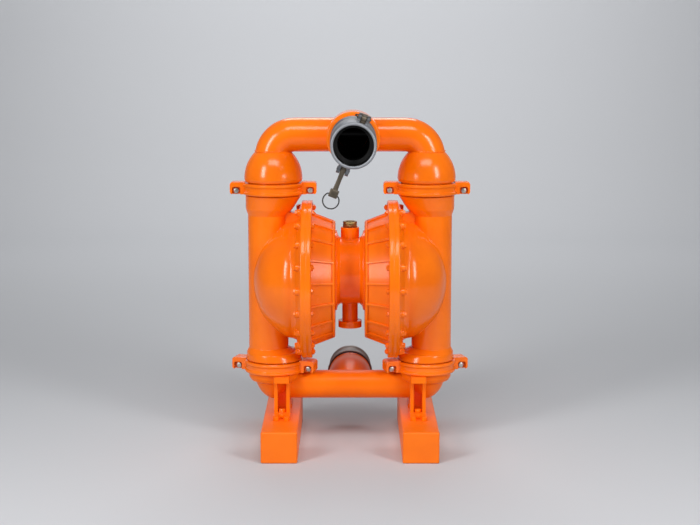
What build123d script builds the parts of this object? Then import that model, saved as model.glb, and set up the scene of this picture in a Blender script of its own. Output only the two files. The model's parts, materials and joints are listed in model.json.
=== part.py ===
from build123d import *
import os
from math import asin, cos, degrees, radians, sin, sqrt

# Air operated double diaphragm pump with 3-inch ports and clamped manifolds.
# Millimetres. X runs along the drive shaft, the discharge port faces -Y, Z is up.
# The origin is the middle of the four anchor holes, on the floor.

# ---------------------------------------------------------------- driving sizes

# Places of the axes and of the clamped joints
column_x = 195.0          # valve column, each side of the middle
drive_z = 426.5           # shaft and diaphragms
low_joint_z = 202.0       # inlet manifold to liquid chamber
high_joint_z = 661.0      # liquid chamber to discharge manifold
low_pipe_z = 150.0
top_pipe_z = 797.5
discharge_x = 8.0         # the discharge port sits a little off the middle

# Clamped joint: two rims with sloped backs, held by a V-section band
rim_r = 70.5
rim_edge = 7.0            # rim height at its edge
rim_root = 9.5            # rim height at the groove
groove_r = 64.5
groove_end = 16.0         # far side of the groove, from the joint
collar_start = 18.0
collar_r = 71.5
band_r = 78.0
band_half = 14.5
band_bead = 3.2           # depth of the channel between the two beads
band_gap = 0.2            # between band and rims
split_gap = 3.0           # between the two halves of a band
ear_reach = 110.0
ear_depth = 19.0
ear_top = 17.0
ear_bottom = 14.0
ear_web = 6.0
ear_pocket_w = 21.0
ear_pocket_top = 5.0
ear_corner = 7.0
clamp_bolt_drop = 5.0     # bolt axis below the joint plane
clamp_bolt_r = 4.0
clamp_head_af = 13.0
clamp_head_h = 5.3
clamp_nut_h = 6.5
bolt_play = 0.5           # hole radius less bolt radius
low_clamp_turn = 15.0     # degrees, outboard ears to the rear

# Ball valves
seat_r = 50.0
seat_bore_r = 27.0
seat_h = 12.0
seat_cone_r = 31.0
seat_cone_h = 6.0
seat_play = 0.2
retainer_h = 9.0
retainer_bore_r = 41.0
ball_r = 35.0
ball_gap = 0.3            # between a resting ball and its seat
valve_bore_r = 56.0

# Discharge manifold
top_pipe_r = 43.2
top_bend_r = 58.0
top_leg_out = 4.0         # elbow leg outboard of the column axis
top_wall = 7.0
bulb_r = 74.2
bulb_rise = 87.0
bulb_mid = 25.0           # widest point above the joint
bulb_end = 55.0           # degrees of the oval, up to where the elbow covers it
top_boss_r = 65.8
top_boss_y = 140.0
top_boss_thread_r = 43.0
boss_thread_depth = 30.0
top_flare_end = 50.0      # where the flare reaches the full radius
top_flare_slope = 1.2     # of the flare at its root

# Inlet manifold
low_pipe_r = 36.0
low_wall = 7.5
lip_r = 66.0
lip_h = 22.5
lip_round = 12.0
bowl_r = 58.7
bowl_in = 3.0             # bowl axis inboard of the column axis
bowl_mid = 2.5            # widest point of the bowl below the joint
bowl_drop = 2.0           # bottom of the bowl below the pipe
throat_r = 43.0
low_boss_r = 54.5
low_boss_y = 118.0
low_flare_end = 90.0
low_flare_slope = 0.25

# Legs, pads and foot beams
leg_x = 174.0
leg_w = 40.0
leg_rib = 9.0
leg_web_y = 27.0
leg_web_t = 9.0
leg_rib_y = 62.0
lug_y = 84.0
lug_top = 15.5            # below the joint
lug_h = 16.0
pad_w = 43.0
pad_y = 106.0
pad_t = 10.0
pad_slot_w = 15.0
pad_slot_len = 26.0
foot_bolt_y = 49.0
foot_bolt_r = 6.0
foot_head_af = 19.0
foot_head_h = 7.5
foot_nut_h = 10.0
beam_x = 175.3
beam_w = 90.6
beam_l = 420.0
beam_h = 79.0
beam_wall = 6.0
beam_round = 4.0
anchor_y = 175.0
anchor_r = 7.0

# Liquid chamber
flange_x = 109.6          # joint of liquid and air chamber
ring_r = 202.0
ring_edge = 12.0
ring_hub_r = 172.0
ring_hub = 24.0
dome_r = 153.0
dome_start = 20.4         # dome ellipse centre outboard of the flange joint
dome_reach = 119.0
chamber_wall = 9.5
riser_r = 51.0
riser_out = 14.8          # riser axis outboard of the column axis
riser_wall = 8.0
high_neck = 52.0          # joint to the shoulder of the upper neck
high_shoulder = 68.0      # joint to the riser
high_shoulder_r = 60.0
high_shoulder_out = 11.0
low_neck = 36.5
low_shoulder = 48.0
low_shoulder_r = 64.8
low_shoulder_out = 6.7

# Air chamber
air_ring_edge = 8.0
air_ring_hub = 13.0
hub_x = 37.7              # inboard face of the air chamber
hub_r = 149.5
hub_rim = 6.0
rib_count = 18
rib_t = 5.5
rib_depth = 14.0
rib_phase = -5.0
air_wall = 10.0

# Bolt circle that joins the chambers
ring_bolt_places = 20     # the two under the necks stay empty
ring_bolt_circle = 187.0
ring_bolt_r = 4.0
ring_head_af = 13.0
ring_head_h = 5.3
ring_nut_h = 6.5
spot_r = 9.0

# Diaphragms, pistons and shaft
diaphragm_r = 174.0
diaphragm_t = 3.0
diaphragm_bead_r = 148.0
diaphragm_roll = 14.0
piston_r = 78.0
outer_piston_t = 20.0
inner_piston_t = 13.0
shaft_r = 12.5
shaft_play = 0.05
stud_r = 8.0
seal_w = 5.0
seal_depth = 4.0
seal_x = 28.0

# Centre block
barrel_r = 85.8
barrel_up = 22.5          # barrel axis above the shaft axis
barrel_x = 29.0
barrel_flare_r = 103.0
barrel_flare_w = 4.0
inlet_boss_r = 23.5
inlet_boss_z = 561.0
inlet_thread_r = 16.0
inlet_thread_depth = 24.0
bushing_af = 36.0
bushing_h = 15.0
bushing_bore_r = 10.5
exhaust_neck_r = 20.0
exhaust_neck_z = 319.0
exhaust_flange_r = 30.0
exhaust_flange_z = 302.0
exhaust_bore_r = 12.0

# Air valve on the rear of the centre block
valve_face_y = 84.0
valve_gasket_t = 1.5
gasket_inset = 1.0
valve_w = 54.0
valve_foot_t = 12.0
valve_foot_h = 134.0
valve_z = 433.0
valve_body_r = 26.0
valve_body_y = 34.0       # body axis behind the gasket
valve_body_h = 84.0
valve_bore = 13.0
cap_h = 9.0
cap_r = 21.5
spool_play = 0.05
spool_l = 64.0
spool_end_gap = 1.0       # spool at its lower stop, above the cap
valve_bolt_x = 19.5
valve_bolt_z = 57.5
valve_bolt_r = 4.0
valve_head_r = 6.0
valve_head_h = 8.0

# Discharge coupler with two cam arms
coupler_mouth_y = 370.0
coupler_collar_r = 56.0
coupler_collar_w = 26.0
coupler_waist_r = 51.5
coupler_bell_r = 56.3
coupler_bell_l = 134.0
coupler_bore_r = 38.0
mouth_bore_r = 46.2
mouth_depth = 54.0
mouth_chamfer = 2.5
coupler_gasket_r = 49.8
coupler_gasket_t = 6.3
arm_angle = 22.0          # degrees, the arms lie on a line this far off the vertical
pin_back = 42.0           # arm pin behind the mouth
pin_r = 4.0
pin_play = 0.06
pin_height = 63.5         # arm pin from the coupler's axis
lug_r = 11.0
lug_t = 7.5
arm_w = 12.0
arm_side = 1.0            # between arm and lugs
arm_hub_r = 9.0
arm_l = 62.0
arm_t = 7.0
lobe_r = 7.5
lobe_off = 7.5
barrel_pin_r = 6.5
barrel_pin_l = 21.0
wire_r = 1.3
finger_ring_r = 19.0
wire_play = 0.06
ring_rest = 0.5           # between the tipped ring and the bell
window_front = 15.0
window_back = 19.0

# Suction adapter
adapter_thread_r = 43.0
adapter_groove_r = 52.0
adapter_groove_w = 3.0
adapter_collar_r = 59.0
adapter_collar_w = 10.0
adapter_neck_r = 49.0
adapter_neck_l = 58.0
adapter_end_r = 53.5
adapter_end_l = 18.0
adapter_bore_r = 38.0
adapter_step_r = 33.0     # flow bore inside the threaded end
adapter_round = 4.0

# ------------------------------------------------------------- worked-out places

riser_x = column_x + riser_out
leg_top_z = low_joint_z - lug_top
pad_top_z = beam_h + pad_t
barrel_z = drive_z + barrel_up
seat_drop = retainer_h + seat_h
ball_rest = sqrt(ball_r**2 - ((seat_bore_r + seat_cone_r) / 2) ** 2)
seat_slope = (seat_cone_r - seat_bore_r) / seat_cone_h
ball_lift_off = ball_gap * sqrt(1 + seat_slope**2) / seat_slope
ball_rise = ball_rest + ball_lift_off - retainer_h - seat_cone_h / 2
pin_y = pin_back - coupler_mouth_y

os.makedirs("parts", exist_ok=True)


# ---------------------------------------------------------------------- helpers

def save(name, shape):
    export_step(shape, f"parts/{name}.step")


def about_z(points):
    """Turn an outline of (radius, height) points about the Z axis."""
    return revolve(Plane.XZ * make_face(Polyline(*points, close=True)), Axis.Z)


def about_y(points):
    """Turn an outline of (radius, y) points about the Y axis."""
    return revolve(make_face(Polyline(*points, close=True)), Axis.Y)


def about_x(points):
    """Turn an outline of (x, radius) points about the X axis."""
    return revolve(make_face(Polyline(*points, close=True)), Axis.X)


def oval(cx, cy, rx, ry, start, end):
    """Smooth curve along an ellipse between two angles in degrees."""
    steps = 4
    angles = [radians(start + (end - start) * i / steps) for i in range(steps + 1)]
    points = [(cx + rx * cos(a), cy + ry * sin(a)) for a in angles]
    sense = 1 if end > start else -1
    ends = [(-sense * rx * sin(a), sense * ry * cos(a)) for a in (angles[0], angles[-1])]
    return Spline(*points, tangents=ends)


def rod_x(r, x0, x1, y=0, z=0):
    return Pos((x0 + x1) / 2, y, z) * Rot(0, 90, 0) * Cylinder(r, abs(x1 - x0))


def rod_y(r, y0, y1, x=0, z=0):
    return Pos(x, (y0 + y1) / 2, z) * Rot(90, 0, 0) * Cylinder(r, abs(y1 - y0))


def rod_z(r, z0, z1, x=0, y=0):
    return Pos(x, y, (z0 + z1) / 2) * Cylinder(r, abs(z1 - z0))


def block(x0, x1, y0, y1, z0, z1):
    box = Box(abs(x1 - x0), abs(y1 - y0), abs(z1 - z0))
    return Pos((x0 + x1) / 2, (y0 + y1) / 2, (z0 + z1) / 2) * box


def hexagon(af, h):
    """Hexagonal prism on the XY plane, rising along Z."""
    return extrude(RegularPolygon(af / 2, 6, major_radius=False), h)


def skew_neck(sections):
    """Straight-sided neck through circles given as (x, z, radius)."""
    faces = [Pos(x, 0, z) * Circle(r) for x, z, r in sections]
    return loft(faces, ruled=True)


def other_side(shape):
    """The same piece on the -X side."""
    return mirror(shape, about=Plane.YZ)


def both_sides(name, shape):
    save(f"{name}_right", shape)
    save(f"{name}_left", other_side(shape))


# --------------------------------------------------------------- clamped joints

def rim(side, outer_r):
    """Solid rim and groove on one side of a joint plane, side +1 above, -1 below."""
    return about_z([
        (0, 0),
        (rim_r, 0),
        (rim_r, side * rim_edge),
        (groove_r, side * rim_root),
        (groove_r, side * groove_end),
        (outer_r, side * collar_start),
        (0, side * collar_start),
    ])


def clamp_half():
    """Front half of a band with an ear at each end, about the origin."""
    lip_r = groove_r + 1.0
    back = rim_edge + band_gap
    root = rim_root + band_gap
    bead = band_half / 2 - 1.0
    groove = band_r - band_bead
    band = about_z([
        (lip_r, -band_half),
        (band_r - 2.0, -band_half),
        (band_r, -band_half + 2.5),
        (band_r, -bead - 1.5),
        (groove, -bead + 1.5),
        (groove, bead - 1.5),
        (band_r, bead + 1.5),
        (band_r, band_half - 2.5),
        (band_r - 2.0, band_half),
        (lip_r, band_half),
        (lip_r, root),
        (rim_r + band_gap, back),
        (rim_r + band_gap, -back),
        (lip_r, -root),
    ])
    front = block(-ear_reach, ear_reach, -split_gap / 2, -ear_reach, -ear_reach, ear_reach)
    half = band & front
    ear = block(
        rim_r + band_gap + 1.0, ear_reach, -split_gap / 2, -ear_depth, -ear_bottom, ear_top
    )
    ear = fillet(ear.edges().filter_by(Axis.Y).group_by(Axis.X)[-1], ear_corner)
    middle = (band_r + ear_reach) / 2
    floor_y = -split_gap / 2 - ear_web
    pocket = block(
        middle - ear_pocket_w / 2,
        middle + ear_pocket_w / 2,
        floor_y,
        -ear_depth - 1,
        -ear_bottom - 1,
        ear_pocket_top,
    )
    pocket = fillet(pocket.edges().filter_by(Axis.Y).group_by(Axis.Z)[-1], ear_corner * 0.7)
    hole = rod_y(clamp_bolt_r + bolt_play, 0, -ear_depth, middle, -clamp_bolt_drop)
    ear = ear - pocket - hole
    ring_bore = rod_z(rim_r + band_gap, -back, back)
    lips = rod_z(lip_r, -ear_top, ear_top)
    ear = ear - ring_bore - lips
    return half + ear + mirror(ear, about=Plane.YZ)


def clamp_bolt(x):
    floor_y = split_gap / 2 + ear_web
    head = Pos(x, -floor_y, -clamp_bolt_drop) * Rot(90, 0, 0) * hexagon(clamp_head_af, clamp_head_h)
    end = floor_y + clamp_nut_h + 2.0
    return head + rod_y(clamp_bolt_r, -floor_y, end, x, -clamp_bolt_drop)


def clamp_nut(x):
    floor_y = split_gap / 2 + ear_web
    nut = Pos(x, floor_y, -clamp_bolt_drop) * Rot(-90, 0, 0) * hexagon(clamp_head_af, clamp_nut_h)
    return nut - rod_y(clamp_bolt_r, 0, ear_reach, x, -clamp_bolt_drop)


def make_clamps():
    half = clamp_half()
    middle = (band_r + ear_reach) / 2
    bolts = [clamp_bolt(x) for x in (-middle, middle)]
    nuts = [clamp_nut(x) for x in (-middle, middle)]
    for level, z, turn in (("lower", low_joint_z, low_clamp_turn), ("upper", high_joint_z, 0)):
        place = Pos(column_x, 0, z) * Rot(0, 0, turn)
        both_sides(f"clamp_{level}_front", place * half)
        both_sides(f"clamp_{level}_rear", place * Rot(0, 0, 180) * half)
        right_bolts = [place * b for b in bolts]
        right_nuts = [place * n for n in nuts]
        pieces = right_bolts + right_nuts
        save(f"clamp_bolts_{level}", Compound(pieces + [other_side(b) for b in pieces]))


# ------------------------------------------------------------------ ball valves

def make_valves():
    seat = about_z([
        (seat_bore_r, 0),
        (seat_r, 0),
        (seat_r, seat_h),
        (seat_cone_r, seat_h),
        (seat_bore_r, seat_h - seat_cone_h),
    ])
    retainer = about_z([
        (retainer_bore_r, 0),
        (seat_r, 0),
        (seat_r, retainer_h),
        (retainer_bore_r, retainer_h),
    ])
    ball = Sphere(ball_r)
    for level, z in (("lower", low_joint_z), ("upper", high_joint_z)):
        both_sides(f"valve_seat_{level}", Pos(column_x, 0, z - seat_drop) * seat)
        both_sides(f"seat_ring_{level}", Pos(column_x, 0, z - retainer_h) * retainer)
        both_sides(f"valve_ball_{level}", Pos(column_x, 0, z + ball_rise) * ball)


# ------------------------------------------------------------ discharge manifold

def top_pipe(r):
    """Pipe with an elbow at each end, turning down into the bulbs."""
    leg_x_out = column_x + top_leg_out
    bend_x = leg_x_out - top_bend_r
    low_z = high_joint_z + bulb_mid + bulb_rise / 2
    corner = top_bend_r * (1 - cos(radians(45)))
    path = [
        Line((-leg_x_out, 0, low_z), (-leg_x_out, 0, top_pipe_z - top_bend_r)),
        ThreePointArc(
            (-leg_x_out, 0, top_pipe_z - top_bend_r),
            (-leg_x_out + corner, 0, top_pipe_z - corner),
            (-bend_x, 0, top_pipe_z),
        ),
        Line((-bend_x, 0, top_pipe_z), (bend_x, 0, top_pipe_z)),
        ThreePointArc(
            (bend_x, 0, top_pipe_z),
            (leg_x_out - corner, 0, top_pipe_z - corner),
            (leg_x_out, 0, top_pipe_z - top_bend_r),
        ),
        Line((leg_x_out, 0, top_pipe_z - top_bend_r), (leg_x_out, 0, low_z)),
    ]
    section = Pos(-leg_x_out, 0, low_z) * Circle(r)
    return sweep(section, path=Wire(path))


def bulb(r, rise, low_z, low_r):
    """Oval flank turned about the column, on a straight or sloped skirt."""
    arc = oval(0, bulb_mid, r, rise, 0, bulb_end)
    top = arc @ 1
    sides = Polyline(top, (0, top.Y), (0, low_z), (low_r, low_z), (r, bulb_mid))
    return revolve(Plane.XZ * make_face([arc, *sides.edges()]), Axis.Z)


def port_boss(end_r, root_r, length, flare_end, slope):
    """Boss along -Y whose root flares out of a pipe, with a bevelled end."""
    flare_start = -root_r * 0.45
    flare = Spline(
        (root_r * 0.8, flare_start), (end_r, flare_end), tangents=[(slope, 1), (0, 1)]
    )
    sides = Polyline(
        (end_r, flare_end), (end_r, length - 3.0), (end_r - 2.5, length), (0, length),
        (0, flare_start), (root_r * 0.8, flare_start),
    )
    return Rot(0, 0, 180) * revolve(make_face([flare, *sides.edges()]), Axis.Y)


def discharge_manifold():
    skirt = bulb(bulb_r, bulb_rise, collar_start, collar_r)
    column = skirt + rim(1, collar_r)
    inner = bulb(bulb_r - top_wall, bulb_rise - top_wall, collar_start, valve_bore_r)
    inner += rod_z(valve_bore_r, -1, collar_start)
    boss = port_boss(top_boss_r, top_pipe_r, top_boss_y, top_flare_end, top_flare_slope)
    boss = Pos(discharge_x, 0, top_pipe_z) * boss
    body = top_pipe(top_pipe_r) + boss
    bore = top_pipe(top_pipe_r - top_wall)
    bore += rod_y(coupler_bore_r, 0, -top_boss_y, discharge_x, top_pipe_z)
    bore += rod_y(
        top_boss_thread_r, -top_boss_y - 1, -top_boss_y + boss_thread_depth, discharge_x, top_pipe_z
    )
    for side in (1, -1):
        place = Pos(side * column_x, 0, high_joint_z)
        body += place * column
        bore += place * inner
    return body - bore


# --------------------------------------------------------------- inlet manifold

def leg():
    """Channel leg, lug and slotted pad in front of the +X column."""
    x0, x1 = leg_x - leg_w / 2, leg_x + leg_w / 2
    web = block(x0, x1, -leg_web_y, -leg_web_y - leg_web_t, beam_h, leg_top_z)
    lug = block(x0, x1, -leg_web_y, -lug_y, leg_top_z - lug_h, leg_top_z)
    lug = fillet(lug.edges().filter_by(Axis.Z).group_by(Axis.Y)[0], 4.0)
    piece = web + lug
    for x in (x0, x1 - leg_rib):
        piece += block(x, x + leg_rib, -leg_web_y, -leg_rib_y, beam_h, leg_top_z - lug_h / 2)
    pad = block(leg_x - pad_w / 2, leg_x + pad_w / 2, -leg_web_y, -pad_y, beam_h, pad_top_z)
    pad = fillet(pad.edges().filter_by(Axis.Z).group_by(Axis.Y)[0], 9.0)
    slot = block(
        leg_x - pad_slot_w / 2, leg_x + pad_slot_w / 2, -pad_y - 1, -pad_y + pad_slot_len,
        beam_h - 1, pad_top_z + 1,
    )
    slot = fillet(slot.edges().filter_by(Axis.Z).group_by(Axis.Y)[-1], pad_slot_w * 0.48)
    hole = rod_z(foot_bolt_r + bolt_play, beam_h - 1, pad_top_z + 1, leg_x, -foot_bolt_y)
    return piece + pad - slot - hole


def inlet_bowl(r, bottom_z, top_z):
    """Rounded bowl below a joint: half an ellipse cut off at top_z."""
    mid_z = -bowl_mid
    arc = oval(0, mid_z, r, mid_z - bottom_z, -90, 0)
    sides = Polyline((r, mid_z), (0, mid_z), (0, bottom_z))
    whole = revolve(Plane.XZ * make_face([arc, *sides.edges()]), Axis.Z)
    return whole & rod_z(2 * r, bottom_z - 1, top_z)


def inlet_manifold():
    lip = about_z([
        (0, -collar_start),
        (lip_r, -collar_start),
        (lip_r, -collar_start - lip_h + lip_round),
        (lip_r - lip_round * 0.35, -collar_start - lip_h + lip_round * 0.35),
        (lip_r - lip_round, -collar_start - lip_h),
        (0, -collar_start - lip_h),
    ])
    bottom = low_pipe_z - low_pipe_r - bowl_drop - low_joint_z
    pipe_end = column_x - bowl_in
    bowl = Pos(-bowl_in, 0, 0) * inlet_bowl(bowl_r, bottom, -collar_start - lip_h / 2)
    column = rim(-1, lip_r) + lip + bowl
    recess = rod_z(seat_r + seat_play, 1, -seat_drop)
    inner = recess + inlet_bowl(throat_r, bottom + low_wall, -seat_drop + 1)
    boss = port_boss(low_boss_r, low_pipe_r, low_boss_y, low_flare_end, low_flare_slope)
    boss = Rot(0, 0, 180) * boss
    body = rod_x(low_pipe_r, -pipe_end, pipe_end, 0, low_pipe_z) + Pos(0, 0, low_pipe_z) * boss
    bore = rod_x(low_pipe_r - low_wall, -pipe_end, pipe_end, 0, low_pipe_z)
    bore += rod_y(adapter_step_r, 0, low_boss_y, 0, low_pipe_z)
    bore += rod_y(
        adapter_thread_r, low_boss_y + 1, low_boss_y - boss_thread_depth, 0, low_pipe_z
    )
    one_leg = leg()
    for side in (1, -1):
        place = Pos(side * column_x, 0, low_joint_z)
        body += place * (column if side > 0 else other_side(column))
        bore += place * inner
        side_leg = one_leg if side > 0 else other_side(one_leg)
        body += side_leg + mirror(side_leg, about=Plane.XZ)
    return body - bore


# ------------------------------------------------------------------- foot beams

def make_feet():
    beam = block(
        beam_x - beam_w / 2, beam_x + beam_w / 2, -beam_l / 2, beam_l / 2, 0, beam_h
    )
    beam = fillet(beam.edges(), beam_round)
    hollow = block(
        beam_x - beam_w / 2 + beam_wall, beam_x + beam_w / 2 - beam_wall,
        -beam_l / 2 + beam_wall, beam_l / 2 - beam_wall, beam_wall, beam_h - beam_wall,
    )
    beam -= hollow
    for y in (-anchor_y, anchor_y):
        beam -= rod_z(anchor_r, -1, beam_wall + 1, beam_x, y)
    bolts = []
    nuts = []
    for y in (-foot_bolt_y, foot_bolt_y):
        beam -= rod_z(foot_bolt_r + bolt_play, beam_h - beam_wall - 1, beam_h + 1, leg_x, y)
        head = Pos(leg_x, y, pad_top_z) * hexagon(foot_head_af, foot_head_h)
        under = beam_h - beam_wall
        bolts.append(head + rod_z(foot_bolt_r, under - foot_nut_h - 3.0, pad_top_z, leg_x, y))
        nut = Pos(leg_x, y, under - foot_nut_h) * hexagon(foot_head_af, foot_nut_h)
        nuts.append(nut - rod_z(foot_bolt_r, 0, beam_h, leg_x, y))
    both_sides("foot_beam", beam)
    pieces = bolts + nuts
    save("foot_bolts", Compound(pieces + [other_side(b) for b in pieces]))


# --------------------------------------------------------------- liquid chambers

def bolt_circle(piece):
    """Copies of a piece made at the top of the circle, except under the two necks."""
    step = 360 / ring_bolt_places
    turns = [i * step for i in range(ring_bolt_places) if i % (ring_bolt_places // 2)]
    return [Pos(0, 0, drive_z) * Rot(turn, 0, 0) * piece for turn in turns]


def dome(grow, x_from):
    """Elliptical dome outboard of the flange joint, grown or shrunk by a wall."""
    x_mid = flange_x + dome_start
    rx = dome_reach + grow
    ry = dome_r + grow
    arc = oval(x_mid, 0, rx, ry, 0, 90)
    sides = Polyline((x_mid, ry), (x_from, ry), (x_from, 0), (x_mid + rx, 0))
    return Pos(0, 0, drive_z) * revolve(make_face([arc, *sides.edges()]), Axis.X)


def liquid_chamber():
    ring = Pos(0, 0, drive_z) * about_x([
        (flange_x, 0),
        (flange_x, ring_r),
        (flange_x + ring_edge, ring_r),
        (flange_x + ring_hub, ring_hub_r),
        (flange_x + ring_hub, 0),
    ])
    riser = rod_z(riser_r, low_joint_z + low_shoulder, high_joint_z - high_shoulder, riser_x)
    low_neck_body = skew_neck([
        (column_x, low_joint_z + collar_start, collar_r),
        (column_x + low_shoulder_out, low_joint_z + low_neck, low_shoulder_r),
        (riser_x, low_joint_z + low_shoulder, riser_r),
    ])
    high_neck_body = skew_neck([
        (column_x, high_joint_z - collar_start, collar_r),
        (column_x + high_shoulder_out, high_joint_z - high_neck, high_shoulder_r),
        (riser_x, high_joint_z - high_shoulder, riser_r),
    ])
    body = dome(0, flange_x) + ring + riser + low_neck_body + high_neck_body
    body += Pos(column_x, 0, low_joint_z) * rim(1, collar_r)
    body += Pos(column_x, 0, high_joint_z) * rim(-1, collar_r)
    spot = rod_z(spot_r, -flange_x - ring_hub, -flange_x)
    spot = Pos(0, 0, ring_bolt_circle) * Rot(0, -90, 0) * spot
    for piece in bolt_circle(spot):
        body += piece

    bore = dome(-chamber_wall, flange_x - 1) & Pos(0, 0, drive_z) * rod_x(
        diaphragm_bead_r - 2.0, flange_x - 1, flange_x + 2 * dome_reach
    )
    low_z = low_joint_z + low_shoulder
    high_z = high_joint_z - high_shoulder
    bore += rod_z(riser_r - riser_wall, low_z, high_z, riser_x)
    bore += rod_z(valve_bore_r, low_joint_z - 1, low_joint_z + collar_start, column_x)
    bore += skew_neck([
        (column_x, low_joint_z + collar_start, valve_bore_r),
        (column_x + low_shoulder_out, low_joint_z + low_neck, low_shoulder_r - riser_wall),
        (riser_x, low_z, riser_r - riser_wall),
    ])
    bore += rod_z(seat_r + seat_play, high_joint_z + 1, high_joint_z - seat_drop, column_x)
    bore += skew_neck([
        (column_x, high_joint_z - seat_drop, throat_r),
        (column_x + high_shoulder_out, high_joint_z - high_neck, throat_r),
        (riser_x, high_z, riser_r - riser_wall),
    ])
    hole = Pos(0, 0, ring_bolt_circle) * rod_x(
        ring_bolt_r + bolt_play, flange_x - 1, flange_x + ring_hub + 1
    )
    for piece in bolt_circle(hole):
        bore += piece
    return body - bore


# ------------------------------------------------------------------ air chambers

def air_chamber():
    ring_in = flange_x - air_ring_hub
    slope = (ring_hub_r - hub_r) / (ring_in - hub_x)
    body = Pos(0, 0, drive_z) * about_x([
        (hub_x, 0),
        (hub_x, hub_r - 2.0),
        (hub_x + 2.0, hub_r),
        (hub_x + hub_rim, hub_r + slope * hub_rim),
        (hub_x + hub_rim, hub_r - rib_depth),
        (ring_in, ring_hub_r - rib_depth),
        (ring_in, ring_hub_r),
        (flange_x - air_ring_edge, ring_r),
        (flange_x, ring_r),
        (flange_x, 0),
    ])
    rib_face = make_face(Polyline(
        (hub_x + 1.0, hub_r - rib_depth - 3.0),
        (hub_x + 1.0, hub_r + slope),
        (ring_in + 1.0, ring_hub_r + slope),
        (ring_in + 1.0, ring_hub_r - rib_depth - 3.0),
        close=True,
    ))
    rib = extrude(rib_face, rib_t / 2, both=True)
    for i in range(rib_count):
        turn = rib_phase + i * 360 / rib_count
        body += Pos(0, 0, drive_z) * Rot(turn, 0, 0) * rib
    spot = Pos(0, 0, ring_bolt_circle) * rod_x(spot_r, flange_x - air_ring_hub, flange_x - 1)
    for piece in bolt_circle(spot):
        body += piece

    floor_x = hub_x + air_wall
    bore = Pos(0, 0, drive_z) * about_x([
        (floor_x, 0),
        (floor_x, hub_r - rib_depth - air_wall),
        (ring_in, diaphragm_bead_r - 4.0),
        (flange_x - diaphragm_t, diaphragm_bead_r - 4.0),
        (flange_x - diaphragm_t, diaphragm_r),
        (flange_x + 1.0, diaphragm_r),
        (flange_x + 1.0, 0),
    ])
    bore += rod_x(shaft_r + shaft_play, hub_x - 1, floor_x + 1, 0, drive_z)
    hole = Pos(0, 0, ring_bolt_circle) * rod_x(
        ring_bolt_r + bolt_play, flange_x - air_ring_hub - 1, flange_x + 1
    )
    for piece in bolt_circle(hole):
        bore += piece
    return body - bore


def ring_bolt():
    head = Pos(flange_x + ring_hub, 0, ring_bolt_circle) * Rot(0, 90, 0)
    head = head * hexagon(ring_head_af, ring_head_h)
    end = flange_x - air_ring_hub - ring_nut_h - 2.0
    return head + Pos(0, 0, ring_bolt_circle) * rod_x(ring_bolt_r, end, flange_x + ring_hub)


def ring_nut():
    face_x = flange_x - air_ring_hub
    nut = Pos(face_x, 0, ring_bolt_circle) * Rot(0, -90, 0) * hexagon(ring_head_af, ring_nut_h)
    return nut - Pos(0, 0, ring_bolt_circle) * rod_x(ring_bolt_r, 0, face_x + 1)


# ----------------------------------------------------- diaphragms, pistons, shaft

def diaphragm():
    """Flat rubber disc with one rolled wave between piston and rim."""
    x0, x1 = flange_x - diaphragm_t, flange_x
    wave_in = piston_r + 6.0
    wave_out = diaphragm_bead_r - 10.0
    wave_mid = (wave_in + wave_out) / 2
    outer_wave = ThreePointArc((x1, wave_in), (x1 + diaphragm_roll, wave_mid), (x1, wave_out))
    inner_wave = ThreePointArc((x0, wave_in), (x0 + diaphragm_roll, wave_mid), (x0, wave_out))
    sides = [
        Line((x1, stud_r), (x1, wave_in)),
        Line((x1, wave_out), (x1, diaphragm_r - seat_play)),
        Line((x1, diaphragm_r - seat_play), (x0, diaphragm_r - seat_play)),
        Line((x0, diaphragm_r - seat_play), (x0, wave_out)),
        Line((x0, wave_in), (x0, stud_r)),
        Line((x0, stud_r), (x1, stud_r)),
    ]
    face = make_face([outer_wave, inner_wave, *sides])
    return Pos(0, 0, drive_z) * revolve(face, Axis.X)


def make_drive():
    both_sides("diaphragm", diaphragm())
    outer = Pos(0, 0, drive_z) * about_x([
        (flange_x, 0),
        (flange_x, piston_r - 4.0),
        (flange_x + 3.0, piston_r),
        (flange_x + 8.0, piston_r - 4.0),
        (flange_x + outer_piston_t, piston_r * 0.45),
        (flange_x + outer_piston_t, 0),
    ])
    outer -= rod_x(stud_r, flange_x - 1, flange_x + outer_piston_t - 6.0, 0, drive_z)
    inner_x = flange_x - diaphragm_t
    inner = Pos(0, 0, drive_z) * about_x([
        (inner_x, stud_r),
        (inner_x, piston_r),
        (inner_x - 5.0, piston_r),
        (inner_x - inner_piston_t, shaft_r * 2),
        (inner_x - inner_piston_t, stud_r),
    ])
    both_sides("outer_piston", outer)
    both_sides("inner_piston", inner)
    shoulder = inner_x - inner_piston_t
    shaft = rod_x(shaft_r, -shoulder, shoulder, 0, drive_z)
    stud_end = flange_x + outer_piston_t - 6.0
    shaft += rod_x(stud_r, -stud_end, stud_end, 0, drive_z)
    save("main_shaft", shaft)
    seal = rod_x(shaft_r + seal_depth, seal_x, seal_x + seal_w, 0, drive_z)
    seal -= rod_x(shaft_r + shaft_play, 0, hub_x, 0, drive_z)
    both_sides("shaft_seal", seal)


# ------------------------------------------------------------------ centre block

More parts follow.
